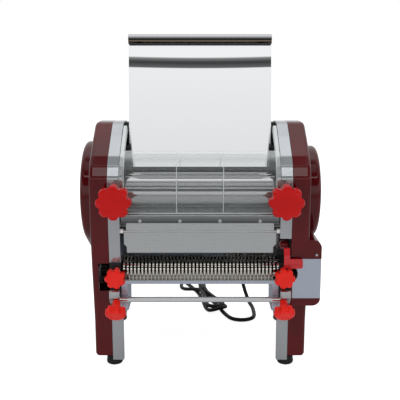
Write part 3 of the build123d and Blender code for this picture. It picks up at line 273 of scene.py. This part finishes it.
def makeClear(name, color, facts):
    # clear acrylic sheet: almost see-through head on, whiter towards grazing views as a painted reflection,
    # faint scuffs;
    # denser where | |x| - x0 | < half a line, at its ribs and side edges, and at its cut top and low edges,
    # as painted highlight lines
    mat, tree, shader, coords = startMaterial(name, color, 0.04)
    facing = tree.nodes.new("ShaderNodeLayerWeight")
    setInputs(facing, {"Blend": 0.35})
    alpha = mapRange(tree, facing.outputs["Facing"], (0.0, 1.0), facts["alpha"])
    axes = splitAxes(tree, coords)
    across = mathNode(tree, "ABSOLUTE", axes["X"], 0.0)
    glintLines = mathNode(tree, "MAXIMUM", mathNode(tree, "GREATER_THAN", axes["Z"], facts["topEdge"]),
                     mathNode(tree, "LESS_THAN", axes["Z"], facts["lowEdge"]))
    # painted highlight lines along the ribs and side edges
    for place in facts["lines"]:
        gap = mathNode(tree, "ABSOLUTE", mathNode(tree, "SUBTRACT", across, place), 0.0)
        glintLines = mathNode(tree, "MAXIMUM", glintLines, mathNode(tree, "LESS_THAN", gap, facts["halfLine"]))
    edge = mathNode(tree, "MULTIPLY", glintLines, facts["glintAlpha"])
    tree.links.new(mathNode(tree, "MAXIMUM", alpha, edge), shader.inputs["Alpha"])
    roughenBy(tree, shader, noiseAt(tree, coords, 60, 5, 0.7, (0.3, 1, 1)), 0.02, 0.14)
    setInputs(shader, {"IOR": 1.49, "Coat Weight": 0.4})
    return mat


def makeCable(name, dark, wearAndShade):
    # round pvc sheath with a dull gloss and faint kink marks
    mat, tree, shader, coords = startMaterial(name, dark, 0.5)
    kinks = noiseAt(tree, coords, 120)
    roughenBy(tree, shader, kinks, 0.40, 0.60)
    colorBy(tree, shader, kinks, [(0.3, dark), (0.7, wearAndShade)])
    setInputs(shader, {"Specular IOR Level": 0.25})
    addBump(tree, shader, kinks, 0.0002, 0.3)
    return mat


# name, color, roughness, coat, grain, bump depth in metres
castGrey = makePaint("castGrey", (0.44, 0.46, 0.48), 0.12, 0.0, 420, 0.00004, shade=0.95, metallic=0.75)
wineEnamel = makePaint("wineEnamel", (0.080, 0.0010, 0.0025), 0.04, 0.0, 260, 0.00002, shade=0.8,
                       specular=0.4)
darkSheet = makePaint("darkSheet", (0.018, 0.018, 0.02), 0.38, 0.3, 600, 0.00015)
blockBlack = makePaint("blockBlack", (0.008, 0.008, 0.009), 0.45, 0.0, 500, 0.0001)
leverRed = makePaint("leverRed", (0.50, 0.006, 0.010), 0.30, 0.5, 700, 0.0001)
castIron = makePaint("castIron", (0.05, 0.05, 0.052), 0.5, 0.0, 300, 0.0004)
motorEnamel = makePaint("motorEnamel", (0.06, 0.09, 0.13), 0.32, 0.4, 380, 0.0003)

# name, color, roughness, stretch, grain, bump depth in metres
panelBlue = makeBrushed("panelBlue", (0.60, 0.66, 0.76), 0.34, (0.03, 1, 1), 900, 0.00004, 0.95, sheetEdge)
satinSteel = makeBrushed("satinSteel", (0.62, 0.645, 0.65), 0.30, alongX, 1100, 0.00003, 0.95, sheetEdge)
turnedSteel = makeBrushed("turnedSteel", (0.62, 0.61, 0.58), 0.24, (1, 0.05, 0.05), 1400, 0.00003)
gearSteel = makeBrushed("gearSteel", (0.13, 0.12, 0.11), 0.42, (1, 1, 1), 500, 0.0001, shade=0.5)
cutterSteel = makeBrushed("cutterSteel", (0.50, 0.48, 0.44), 0.26, (1, 0.1, 0.1), 1600, 0.00003, shade=0.75)
bareAlloy = makeBrushed("bareAlloy", (0.70, 0.71, 0.72), 0.34, (0.2, 1, 1), 600, 0.00006)
zincPlate = makeBrushed("zincPlate", (0.66, 0.68, 0.70), 0.25, (1, 1, 1), 700, 0.00004)
bladeBrass = makeBrushed("bladeBrass", (0.72, 0.56, 0.28), 0.28, (1, 1, 0.1), 900, 0.00003)

mirrorSteel = makePolished("mirrorSteel", (0.86, 0.87, 0.88), roughness=0.010, spread=1.6, swell=0.006)
rollerSteel = makePolished("rollerSteel", (0.45, 0.455, 0.46), roughness=0.06, spread=1.8, swell=0.01)

# name, color, roughness, grain, bump depth in metres
knobRed = makePlastic("knobRed", (0.50, 0.001, 0.001), 0.22, 900, 0.00003, shade=0.88)
clampRed = makePlastic("clampRed", (0.78, 0.012, 0.005), 0.26, 900, 0.00003, shade=0.9)
blackRubber = makePlastic("blackRubber", (0.012, 0.012, 0.012), 0.62, 700, 0.0002)
blackPlastic = makePlastic("blackPlastic", (0.016, 0.016, 0.017), 0.40, 900, 0.0001)
whiteNylon = makePlastic("whiteNylon", (0.86, 0.86, 0.84), 0.38, 600, 0.0001)
strapBlack = makePlastic("strapBlack", (0.02, 0.02, 0.02), 0.7, 1200, 0.0002)
cableBlack = makeCable("cableBlack", dark=(0.003, 0.003, 0.004), wearAndShade=(0.008, 0.008, 0.009))

trayFacts = {
    "rollSpan": (0.4845, 0.5000),
    # (share of the roll's height, color) of the painted reflection and shade stripes
    "paintedReflections": [(0.0, (1, 1, 1)), (0.04, (0.03, 0.03, 0.03)), (0.13, (0.03, 0.03, 0.03)),
                (0.19, (0.13, 0.11, 0.09)), (0.38, (0.30, 0.25, 0.18)), (0.44, (0.08, 0.07, 0.06)),
                (0.50, (0.02, 0.02, 0.02)), (0.57, (0.02, 0.02, 0.02)), (0.62, (0.55, 0.55, 0.55)),
                (0.80, (1, 1, 1)), (0.95, (0.5, 0.5, 0.5))],
}
traySteel = makeTray("traySteel", (0.86, 0.87, 0.88), trayFacts)

scraperFacts = {
    "span": (0.229, 0.247),
    # (share of the height, color) of the front scraper's painted shade and painted highlight
    "shadeAndHighlight": [(0.0, (0.10, 0.105, 0.11)), (0.55, (0.30, 0.32, 0.32)), (0.62, (0.62, 0.64, 0.64)),
              (0.70, (0.34, 0.36, 0.36)), (1.0, (0.40, 0.42, 0.42))],
}
scraperSteel = makeShaded("scraperSteel", scraperFacts, 0.24, 1100)

# axes as (y, z), radii of the groove and of the ring, half the length between the frames, the painted groove
# shade and the rings' color
ringFacts = {"axes": {"Front": (-0.083, 0.155), "Rear": (-0.056, 0.155)}, "radii": (0.0115, 0.0135),
             "halfSpan": 0.1165, "grooveShade": (0.016, 0.014, 0.012), "bright": (0.88, 0.84, 0.76)}
ringSteels = {side: makeRingSteel(f"ringSteel{side}", axis, ringFacts)
              for side, axis in ringFacts["axes"].items()}

# edges and rib lines that carry painted highlight lines, the painted reflection's alpha head on to grazing,
# and the lines' alpha
guardFacts = {"topEdge": 0.3297, "lowEdge": 0.2436, "lines": (0.0338, 0.1098), "halfLine": 0.0006,
              "alpha": (0.04, 0.75), "glintAlpha": 0.32}
clearAcrylic = makeClear("clearAcrylic", (0.80, 0.86, 0.86), guardFacts)

finishes = {
    "side_frame_left": castGrey, "side_frame_right": castGrey, "cover_left": wineEnamel,
    "cover_right": wineEnamel, "control_panel": panelBlue, "rear_cover": darkSheet, "tie_rods": turnedSteel,
    "rubber_feet": blackRubber, "cover_screws": zincPlate, "shaft_bushes": turnedSteel,
    "front_roller": rollerSteel, "rear_roller": rollerSteel, "bearing_blocks": bareAlloy,
    "front_roller_gear": gearSteel, "rear_roller_gear": gearSteel, "drive_gear": gearSteel,
    "pinion_shaft": gearSteel, "large_pulley": castIron, "motor_pulley": castIron, "drive_belt": blackRubber,
    "motor_body": motorEnamel, "motor_plate": castIron, "motor_shaft": turnedSteel, "capacitor": bareAlloy,
    "cutter_roll_front": ringSteels["Front"], "cutter_roll_rear": ringSteels["Rear"],
    "cutter_blocks": blockBlack, "combs": cutterSteel, "comb_frame": panelBlue,
    "cutter_drive_gear": gearSteel, "idler_gear": gearSteel, "clutch_gear": gearSteel,
    "clutch_fork": zincPlate, "gear_bracket": castIron, "clutch_lever": leverRed,
    "gap_knob_right": knobRed, "gap_knob_left": knobRed, "gap_screw_right": zincPlate,
    "gap_screw_left": zincPlate, "clamp_knob_right": clampRed, "clamp_knob_left": clampRed,
    "lower_knob_right": clampRed, "lower_knob_left": clampRed, "clamp_brackets": zincPlate,
    "front_tie_bar": mirrorSteel, "guard_shield": clearAcrylic, "guard_rails": satinSteel,
    "feed_tray": traySteel, "tray_guides": blackPlastic, "front_scraper": scraperSteel,
    "scraper_screws": zincPlate, "rear_scraper": satinSteel, "chute_flap": satinSteel,
    "chute_caps": whiteNylon, "switch_body": blackPlastic, "switch_rocker": blackPlastic,
    "cord_gland": blackRubber, "power_plug": blackPlastic,
}
for nodeName, finish in finishes.items():
    for materialSlot in nodes[nodeName].material_slots:
        materialSlot.material = finish
print("finishes set", len(finishes))


# stage, light and camera

def seenDirectly(tree):
    # 1 for camera and transmission rays, and the factor of glossy rays
    path = tree.nodes.new("ShaderNodeLightPath")
    seen = mathNode(tree, "MAXIMUM", path.outputs["Is Camera Ray"], path.outputs["Is Transmission Ray"])
    return seen, path.outputs["Is Glossy Ray"]


# half width in metres, colors, and the strength of its glow by kind of ray
floorFacts = {"half": 12.0, "color": (0.80, 0.80, 0.80), "colorInGloss": (0.40, 0.40, 0.41),
              "seen": 0.86, "glossy": 0.16, "other": 0.30}


def makeFloor(facts):
    # pale floor: glow = other + (seen - other) * seenRay + (glossy - other) * glossyRay, so that only a
    # faint shadow shows
    half, other = facts["half"], facts["other"]
    mesh = bpy.data.meshes.new("floor")
    mesh.from_pydata([(-half, -half, 0), (half, -half, 0), (half, half, 0), (-half, half, 0)], [],
                     [(0, 1, 2, 3)])
    floor = bpy.data.objects.new("floor", mesh)
    bpy.context.scene.collection.objects.link(floor)
    mat = bpy.data.materials.new("paleFloor")
    mat.use_nodes = True
    tree = mat.node_tree
    shader = tree.nodes["Principled BSDF"]
    setInputs(shader, {"Roughness": 0.9, "Specular IOR Level": 0.0, "Emission Color": (1, 1, 1, 1)})
    seen, glossy = seenDirectly(tree)
    colorBy(tree, shader, glossy, [(0.0, facts["color"]), (1.0, facts["colorInGloss"])])
    glow = mathNode(tree, "ADD", mathNode(tree, "MULTIPLY", seen, facts["seen"] - other), other)
    glow = mathNode(tree, "ADD", glow, mathNode(tree, "MULTIPLY", glossy, facts["glossy"] - other))
    tree.links.new(glow, shader.inputs["Emission Strength"])
    mesh.materials.append(mat)


roomFacts = {
    "soft": 0.36,
    "tint": (1, 1.005, 1.01),
    # (half of 1 + sine of the elevation, grey) in front of the machine, low to high
    "front": [(0.50, 0.50), (0.56, 0.80), (0.65, 0.95), (0.675, 1.0), (0.682, 0.10), (0.820, 0.06),
              (0.826, 2.0), (0.843, 2.0), (0.848, 0.07), (0.895, 0.10), (0.925, 0.55), (0.982, 0.80),
              (0.987, 0.24), (0.994, 0.24), (0.997, 0.80)],
    "back": [(0.50, 0.70), (0.62, 0.80), (0.70, 0.75), (0.78, 0.85), (0.93, 0.95), (0.985, 1.4)],
    # y of the direction over which the front gives way to the back
    "backSpan": (-0.05, 0.16),
    # a narrow dark band in front, in shares of the heights it spans
    "bandSpan": (0.645, 0.665),
    "band": [(0.0, 0.95), (0.345, 0.95), (0.375, 0.14), (0.535, 0.05), (0.59, 0.09), (0.68, 0.26),
             (0.725, 1.0)],
}


def roomRamp(tree, factor, facts, side):
    # ramp over the (place, grey) stops of one side of the room, slightly tinted
    return rampTo(tree, factor, [(place, toned(facts["tint"], grey)) for place, grey in facts[side]])


def makeWorld(facts):
    # white where the camera looks, soft for diffuse light, and for gloss a room with bands of light and dark
    world = bpy.data.worlds.new("studio")
    bpy.context.scene.world = world
    world.use_nodes = True
    tree = world.node_tree
    tree.nodes.clear()
    link = tree.links.new
    coords = tree.nodes.new("ShaderNodeTexCoord")
    axes = splitAxes(tree, coords.outputs["Generated"])
    height = mathNode(tree, "ADD", mathNode(tree, "MULTIPLY", axes["Z"], 0.5), 0.5)
    low, high = facts["bandSpan"]
    share = mathNode(tree, "DIVIDE", mathNode(tree, "SUBTRACT", height, low), high - low)
    inBand = mathNode(tree, "MULTIPLY", mathNode(tree, "GREATER_THAN", share, 0.0),
                      mathNode(tree, "LESS_THAN", share, 1.0))
    front = mixColors(tree, inBand, roomRamp(tree, height, facts, "front"),
                      roomRamp(tree, share, facts, "band"))
    behind = mapRange(tree, axes["Y"], facts["backSpan"], ease="SMOOTHSTEP")
    room = tree.nodes.new("ShaderNodeBackground")
    link(mixColors(tree, behind, front, roomRamp(tree, height, facts, "back")), room.inputs["Color"])
    white = tree.nodes.new("ShaderNodeBackground")
    setInputs(white, {"Color": (1, 1, 1, 1)})
    soft = tree.nodes.new("ShaderNodeBackground")
    setInputs(soft, {"Color": (1, 1, 1, 1), "Strength": facts["soft"]})
    seen, glossy = seenDirectly(tree)
    lit = tree.nodes.new("ShaderNodeMixShader")
    link(glossy, lit.inputs["Fac"])
    link(soft.outputs["Background"], lit.inputs[1])
    link(room.outputs["Background"], lit.inputs[2])
    both = tree.nodes.new("ShaderNodeMixShader")
    link(seen, both.inputs["Fac"])
    link(lit.outputs["Shader"], both.inputs[1])
    link(white.outputs["Background"], both.inputs[2])
    output = tree.nodes.new("ShaderNodeOutputWorld")
    link(both.outputs["Shader"], output.inputs["Surface"])


def addLamp(name, place, target, size, power):
    # a square soft box that faces its target and isn't mirrored in gloss
    lamp = bpy.data.lights.new(name, "AREA")
    lamp.shape = "SQUARE"
    lamp.size = size
    lamp.energy = power
    holder = bpy.data.objects.new(name, lamp)
    bpy.context.scene.collection.objects.link(holder)
    holder.location = place
    holder.rotation_euler = (Vector(target) - Vector(place)).to_track_quat("-Z", "Y").to_euler()
    holder.visible_glossy = False


# place and target in metres, size in metres, power in watts
lamps = {
    "keyLight": ((-0.9, -1.3, 1.5), (0, 0, 0.22), 1.1, 11.5),
    "fillLight": ((1.2, -1.1, 0.9), (0, 0, 0.2), 1.2, 6),
    "topLight": ((0.1, 0.2, 1.7), (0, 0, 0.2), 1.3, 8.5),
}
# place in metres, tilt below the horizon in degrees, lens and sensor in millimetres
viewFacts = {"place": (0.0, -1.0846, 0.454), "tilt": 11.0, "lens": 62.64, "sensor": 36.0}


def makeCamera(facts):
    # camera straight in front of the machine, looking a little down
    data = bpy.data.cameras.new("camera")
    data.lens = facts["lens"]
    data.sensor_width = facts["sensor"]
    camera = bpy.data.objects.new("camera", data)
    bpy.context.scene.collection.objects.link(camera)
    camera.location = facts["place"]
    camera.rotation_euler = (math.radians(90 - facts["tilt"]), 0, 0)
    bpy.context.scene.camera = camera


makeFloor(floorFacts)
makeWorld(roomFacts)
makeCamera(viewFacts)
for lampName, lampFacts in lamps.items():
    addLamp(lampName, *lampFacts)
bpy.context.scene.view_settings.view_transform = "Standard"
print("stage, light and camera made")


# power cord, in bench millimetres

cordFacts = {
    "diameter": 7.0,
    # curve resolution round its section and along its length
    "bevelSteps": 5, "lengthSteps": 8,
    "nearFold": (31.0, 262.0),
    "farFold": (-18.0, 440.0),
    "route": [(70, 268.1, 120), (70, 301, 120), (73, 335, 86), (81, 337, 42), (93, 306, 5), (99, 278, 3.6),
              (100, 252, 3.6), (99, 221.5, 3.6), (88.3, 208.3, 3.6), (71.7, 204.7, 3.6), (56.5, 212.4, 3.6),
              (49, 229, 3.6), (43, 245.5, 3.6)],
    # strands of the hank, as (along, across, height) from the near fold's centre
    "strandOut": [(12, 8, 3.6), (58, 5, 3.6), (101, 0, 3.6), (146, 8, 3.6), (174, 14.5, 3.6)],
    "strandBack": [(172, -15, 3.6), (140, -11, 3.6), (101, -7.2, 3.6), (55, -11, 3.6), (20, -17, 3.6)],
    "secondOut": [(17, 19, 4.4), (56, 13, 3.6), (101, 7.2, 3.6), (142, 16, 3.6), (172, 22, 3.6)],
    "secondBack": [(172, -24, 3.6), (150, -32, 3.6), (129, -31, 4.4), (108, -12, 9.6), (96, -3.4, 11.0),
                   (60, -6, 10.8), (24, -13, 10.8)],
    "thirdOut": [(24, 13, 10.9), (62, 7, 10.8), (101, 3.6, 10.8), (144, 10, 10.9), (176, 19.5, 10.7)],
    "lastPoints": [(190, 21.5, 10.0), (200, 21.5, 10.0)],
    # folds: radius and heights at the far end; place along, radius and heights at the near end
    "farFolds": [(15.5, [3.6] * 5), (22.5, [3.6] * 5)],
    "nearFolds": [(2, 17.5, [4.2, 7.6, 11.2, 11.6, 8.2]), (11, 15.5, [10.8, 10.9, 11.0, 11.2, 11.2])],
}


def roundFold(middle, radius, side, heights):
    # control points on a half circle about (middle, 0), which starts on the side given, +1 or -1
    angles = (np.arange(len(heights)) + 0.5) / len(heights) * math.pi
    reach = radius / math.cos(math.pi / len(heights) / 2)
    return [(middle + side * reach * math.sin(angle), side * reach * math.cos(angle), height)
            for angle, height in zip(angles, heights)]


def hankAxes(facts):
    # level directions along the hank, near fold to far fold, and across it
    line = np.array(facts["farFold"]) - np.array(facts["nearFold"])
    ahead = np.array((*(line / np.linalg.norm(line)), 0))
    return ahead, np.array((ahead[1], -ahead[0], 0))


def hankPoint(facts, along, across, height):
    # bench point at a place along and across the hank
    ahead, side = hankAxes(facts)
    spot = np.array(facts["nearFold"]) + ahead[:2] * along + side[:2] * across
    return (spot[0], spot[1], height)


def hankTurns(facts):
    # five strands side by side and on each other, with two folds at each end, drawn in by the tie
    length = math.dist(facts["nearFold"], facts["farFold"])
    farFirst, farSecond = (roundFold(length, radius, 1, heights) for radius, heights in facts["farFolds"])
    nearFirst, nearSecond = (roundFold(middle, radius, -1, heights)
                             for middle, radius, heights in facts["nearFolds"])
    turns = facts["strandOut"] + farFirst + facts["strandBack"] + nearFirst + facts["secondOut"] + farSecond
    turns += facts["secondBack"] + nearSecond + facts["thirdOut"] + facts["lastPoints"]
    return [hankPoint(facts, *spot) for spot in turns]


def makeCord(facts):
    # one nurbs line through the route and the turns of the hank, ending in the plug's sleeve
    points = facts["route"] + hankTurns(facts)
    data = bpy.data.curves.new("powerCord", "CURVE")
    data.dimensions = "3D"
    data.bevel_depth = facts["diameter"] / 2000
    data.bevel_resolution = facts["bevelSteps"]
    data.resolution_u = facts["lengthSteps"]
    data.use_fill_caps = True
    spline = data.splines.new("NURBS")
    spline.points.add(len(points) - 1)
    for point, place in zip(spline.points, points):
        point.co = (*bench(*place), 1)
    spline.order_u = 3
    spline.use_endpoint_u = True
    cord = bpy.data.objects.new("powerCord", data)
    bpy.context.scene.collection.objects.link(cord)
    data.materials.append(cableBlack)
    return cord, spline.calc_length()


def wrapPiece(name, grid, material, sharpAngle=None, closeEnds=True):
    # closed tube from a grid (rows, columns, 3): neighbours joined round the columns, the end rows closed
    # by a fan; edges that turn by more than the angle in degrees stay crisp
    rows, columns = grid.shape[:2]
    points = grid.reshape(-1, 3)
    index = np.arange(rows * columns).reshape(rows, columns)
    after = np.roll(index, -1, axis=1)
    quads = np.stack((index[:-1], after[:-1], after[1:], index[1:]), axis=-1).reshape(-1, 4)
    faces = [tuple(int(v) for v in quad) for quad in quads]
    if closeEnds:
        points = np.vstack((points, grid[0].mean(axis=0), grid[-1].mean(axis=0)))
        first, last = rows * columns, rows * columns + 1
        faces += [(first, int(b), int(a)) for a, b in zip(index[0], after[0])]
        faces += [(last, int(a), int(b)) for a, b in zip(index[-1], after[-1])]
    mesh = bpy.data.meshes.new(name)
    mesh.from_pydata(points.tolist(), [], faces)
    mesh.polygons.foreach_set("use_smooth", [True] * len(faces))
    mesh.materials.append(material)
    piece = bpy.data.objects.new(name, mesh)
    bpy.context.scene.collection.objects.link(piece)
    outward = bmesh.new()
    outward.from_mesh(mesh)
    bmesh.ops.recalc_face_normals(outward, faces=outward.faces)
    outward.to_mesh(mesh)
    outward.free()
    if sharpAngle:
        mesh.set_sharp_from_angle(angle=math.radians(sharpAngle))
    return piece


def superSections(stations, columns):
    # rows of (reach, half width a, half height b, power p):
    # width = a * sign(cos) * |cos|^(2/p), height = b * sign(sin) * |sin|^(2/p)
    reach, a, b, power = np.array(stations, dtype=float).T
    angle = np.linspace(0, 2 * math.pi, columns, endpoint=False)
    cosine, sine = np.cos(angle)[None, :], np.sin(angle)[None, :]
    share = (2 / power)[:, None]
    width = a[:, None] * np.sign(cosine) * np.abs(cosine) ** share
    height = b[:, None] * np.sign(sine) * np.abs(sine) ** share
    return np.stack((np.repeat(reach[:, None], columns, axis=1), width, height), axis=-1)


def placedAt(grid, origin, ahead, side):
    # local (reach, side, up) millimetres to metres of the row frame
    up = np.cross(ahead, side)
    return np.array(origin) + (grid[..., :1] * ahead + grid[..., 1:2] * side + grid[..., 2:] * up) / 1000


def movedBy(stations, start):
    # the same stations, whose reach begins at the start given
    return [(start + reach, *section) for reach, *section in stations]


def roundStations(profile):
    # round stations from (reach, radius)
    return [(reach, radius, radius, 2) for reach, radius in profile]


# (share of one rib's pitch, share of the groove's depth)
ribProfile = ((0.0, 0.0), (0.50, 0.0), (0.56, 0.7), (0.64, 1.0), (0.86, 1.0), (0.94, 0.7))


def ribbedSleeve(facts):
    # stations of a sleeve with flat ribs and rounded grooves:
    # radius = start + (end - start) * reach / length - depth * cut
    startRadius, endRadius = facts["radii"]
    pitch = facts["length"] / facts["ribs"]
    reaches = [(rib * pitch + share * pitch, cut)
               for rib in range(facts["ribs"]) for share, cut in ribProfile]
    return roundStations([(reach, startRadius + (endRadius - startRadius) * reach / facts["length"]
                           - facts["depth"] * cut) for reach, cut in reaches])


reliefFacts = {
    "seat": (70, 238.1, 120), "ahead": (0, 1.0, 0), "side": (1.0, 0, 0),
    # points round each section, and degrees past which an edge stays crisp
    "columns": 48, "crisp": 50,
    # (reach, radius) of the round flange and of the tip
    "flange": [(0, 7.5), (0.3, 7.9), (2.4, 7.9), (3.0, 7.1)],
    "cone": {"length": 26.0, "radii": (6.0, 4.2), "ribs": 6, "depth": 0.9}, "coneStart": 3.6,
    "tip": [(29.5, 4.2), (29.9, 3.8)],
}


def makeRelief(facts):
    # strain relief: round flange, then a ribbed cone down to the cord
    stations = roundStations(facts["flange"]) + movedBy(ribbedSleeve(facts["cone"]), facts["coneStart"])
    stations += roundStations(facts["tip"])
    grid = placedAt(superSections(stations, facts["columns"]), bench(*facts["seat"]),
                    np.array(facts["ahead"]), np.array(facts["side"]))
    return wrapPiece("strainRelief", grid, blackRubber, facts["crisp"])


plugFacts = {
    "tip": (196.6, 21.5, 10.0), "collarRadius": 3.9, "sleeveStart": 0.4, "gripStart": 34.0,
    "sleeve": {"length": 31.0, "radii": (4.5, 6.8), "ribs": 7, "depth": 0.9},
    # (reach from the grip's start, half width, half height, power)
    "shoulder": [(-1.5, 7.0, 6.9, 2.0), (1.5, 9.6, 8.4, 2.3), (5, 12.0, 9.4, 2.8), (9, 12.6, 9.7, 3.2)],
    "face": [(29, 12.8, 9.8, 3.4), (34.6, 12.8, 9.8, 3.6), (36.0, 12.0, 9.0, 3.6), (36.2, 9.4, 8.0, 2.4),
             (38.6, 9.2, 7.8, 2.4), (39.0, 8.8, 7.4, 2.4)],
    # one finger groove, and where the grooves start
    "groove": [(0, 11.9, 9.6, 3.2), (0.7, 11.2, 9.3, 3.2), (1.9, 11.2, 9.3, 3.2), (2.6, 11.9, 9.6, 3.2)],
    "grooves": 5, "grooveStart": 11, "groovePitch": 3.2,
    "blade": [(0, 0.8, 3.1, 8), (15.0, 0.8, 3.1, 8), (16.6, 0.75, 2.6, 7), (17.6, 0.6, 1.6, 5),
              (18.0, 0.3, 0.9, 4)],
    "bladeStart": 38.0, "bladeSpacing": 12.7,
    # points round each section, and degrees past which an edge stays crisp
    "columns": 64, "crisp": 55, "bladeColumns": 32, "bladeCrisp": 40,
}


def makePlug(facts):
    # moulded two-pin plug: ribbed sleeve, waisted grip with finger grooves, flat face, two flat blades
    start = bench(*hankPoint(cordFacts, *facts["tip"]))
    ahead, side = hankAxes(cordFacts)
    grip = facts["gripStart"]
    stations = roundStations([(0, facts["collarRadius"])])
    stations += movedBy(ribbedSleeve(facts["sleeve"]), facts["sleeveStart"])
    stations += movedBy(facts["shoulder"], grip)
    for number in range(facts["grooves"]):
        stations += movedBy(facts["groove"], grip + facts["grooveStart"] + number * facts["groovePitch"])
    stations += movedBy(facts["face"], grip)
    grid = placedAt(superSections(stations, facts["columns"]), start, ahead, side)
    pieces = [wrapPiece("plugBody", grid, blackPlastic, facts["crisp"])]
    for name, hand in (("plugBladeLeft", -1), ("plugBladeRight", 1)):
        grid = superSections(movedBy(facts["blade"], grip + facts["bladeStart"]), facts["bladeColumns"])
        grid[..., 1] += hand * facts["bladeSpacing"] / 2
        pieces.append(wrapPiece(name, placedAt(grid, start, ahead, side), bladeBrass, facts["bladeCrisp"]))
    return pieces


tieFacts = {
    "along": 101.0, "halfWidth": 11.4, "low": 0.2, "high": 14.8, "inset": 0.5, "power": 2.6, "columns": 64,
    # (reach along the hank, lift) once round the strap's section, outside and then inside
    "section": [(-2.5, 0.0), (-2.2, 0.35), (0, 0.45), (2.2, 0.35), (2.5, 0.0), (2.3, -0.7), (0, -0.8),
                (-2.3, -0.7)],
}


def makeTie(facts):
    # soft strap drawn round the five strands at the waist of the hank
    middle = (facts["low"] + facts["high"]) / 2
    wide = facts["halfWidth"] - facts["inset"]
    tall = (facts["high"] - facts["low"]) / 2 - facts["inset"]
    start = bench(*hankPoint(cordFacts, facts["along"], 0, middle))
    ring = [(reach, wide + lift, tall + lift, facts["power"]) for reach, lift in facts["section"]]
    grid = placedAt(superSections(ring + ring[:1], facts["columns"]), start, *hankAxes(cordFacts))
    return wrapPiece("hankTie", grid, strapBlack, closeEnds=False)


cord, cordLength = makeCord(cordFacts)
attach(cord, "frame")
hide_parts("power_cord", "cord_hank")
relief = makeRelief(reliefFacts)
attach(relief, "frame")
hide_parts("cord_gland")
plugPieces = makePlug(plugFacts)
for plugPiece in plugPieces:
    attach(plugPiece, "frame")
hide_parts("power_plug")
hankTie = makeTie(tieFacts)
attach(hankTie, "frame")
print("cord length", round(cordLength, 3))
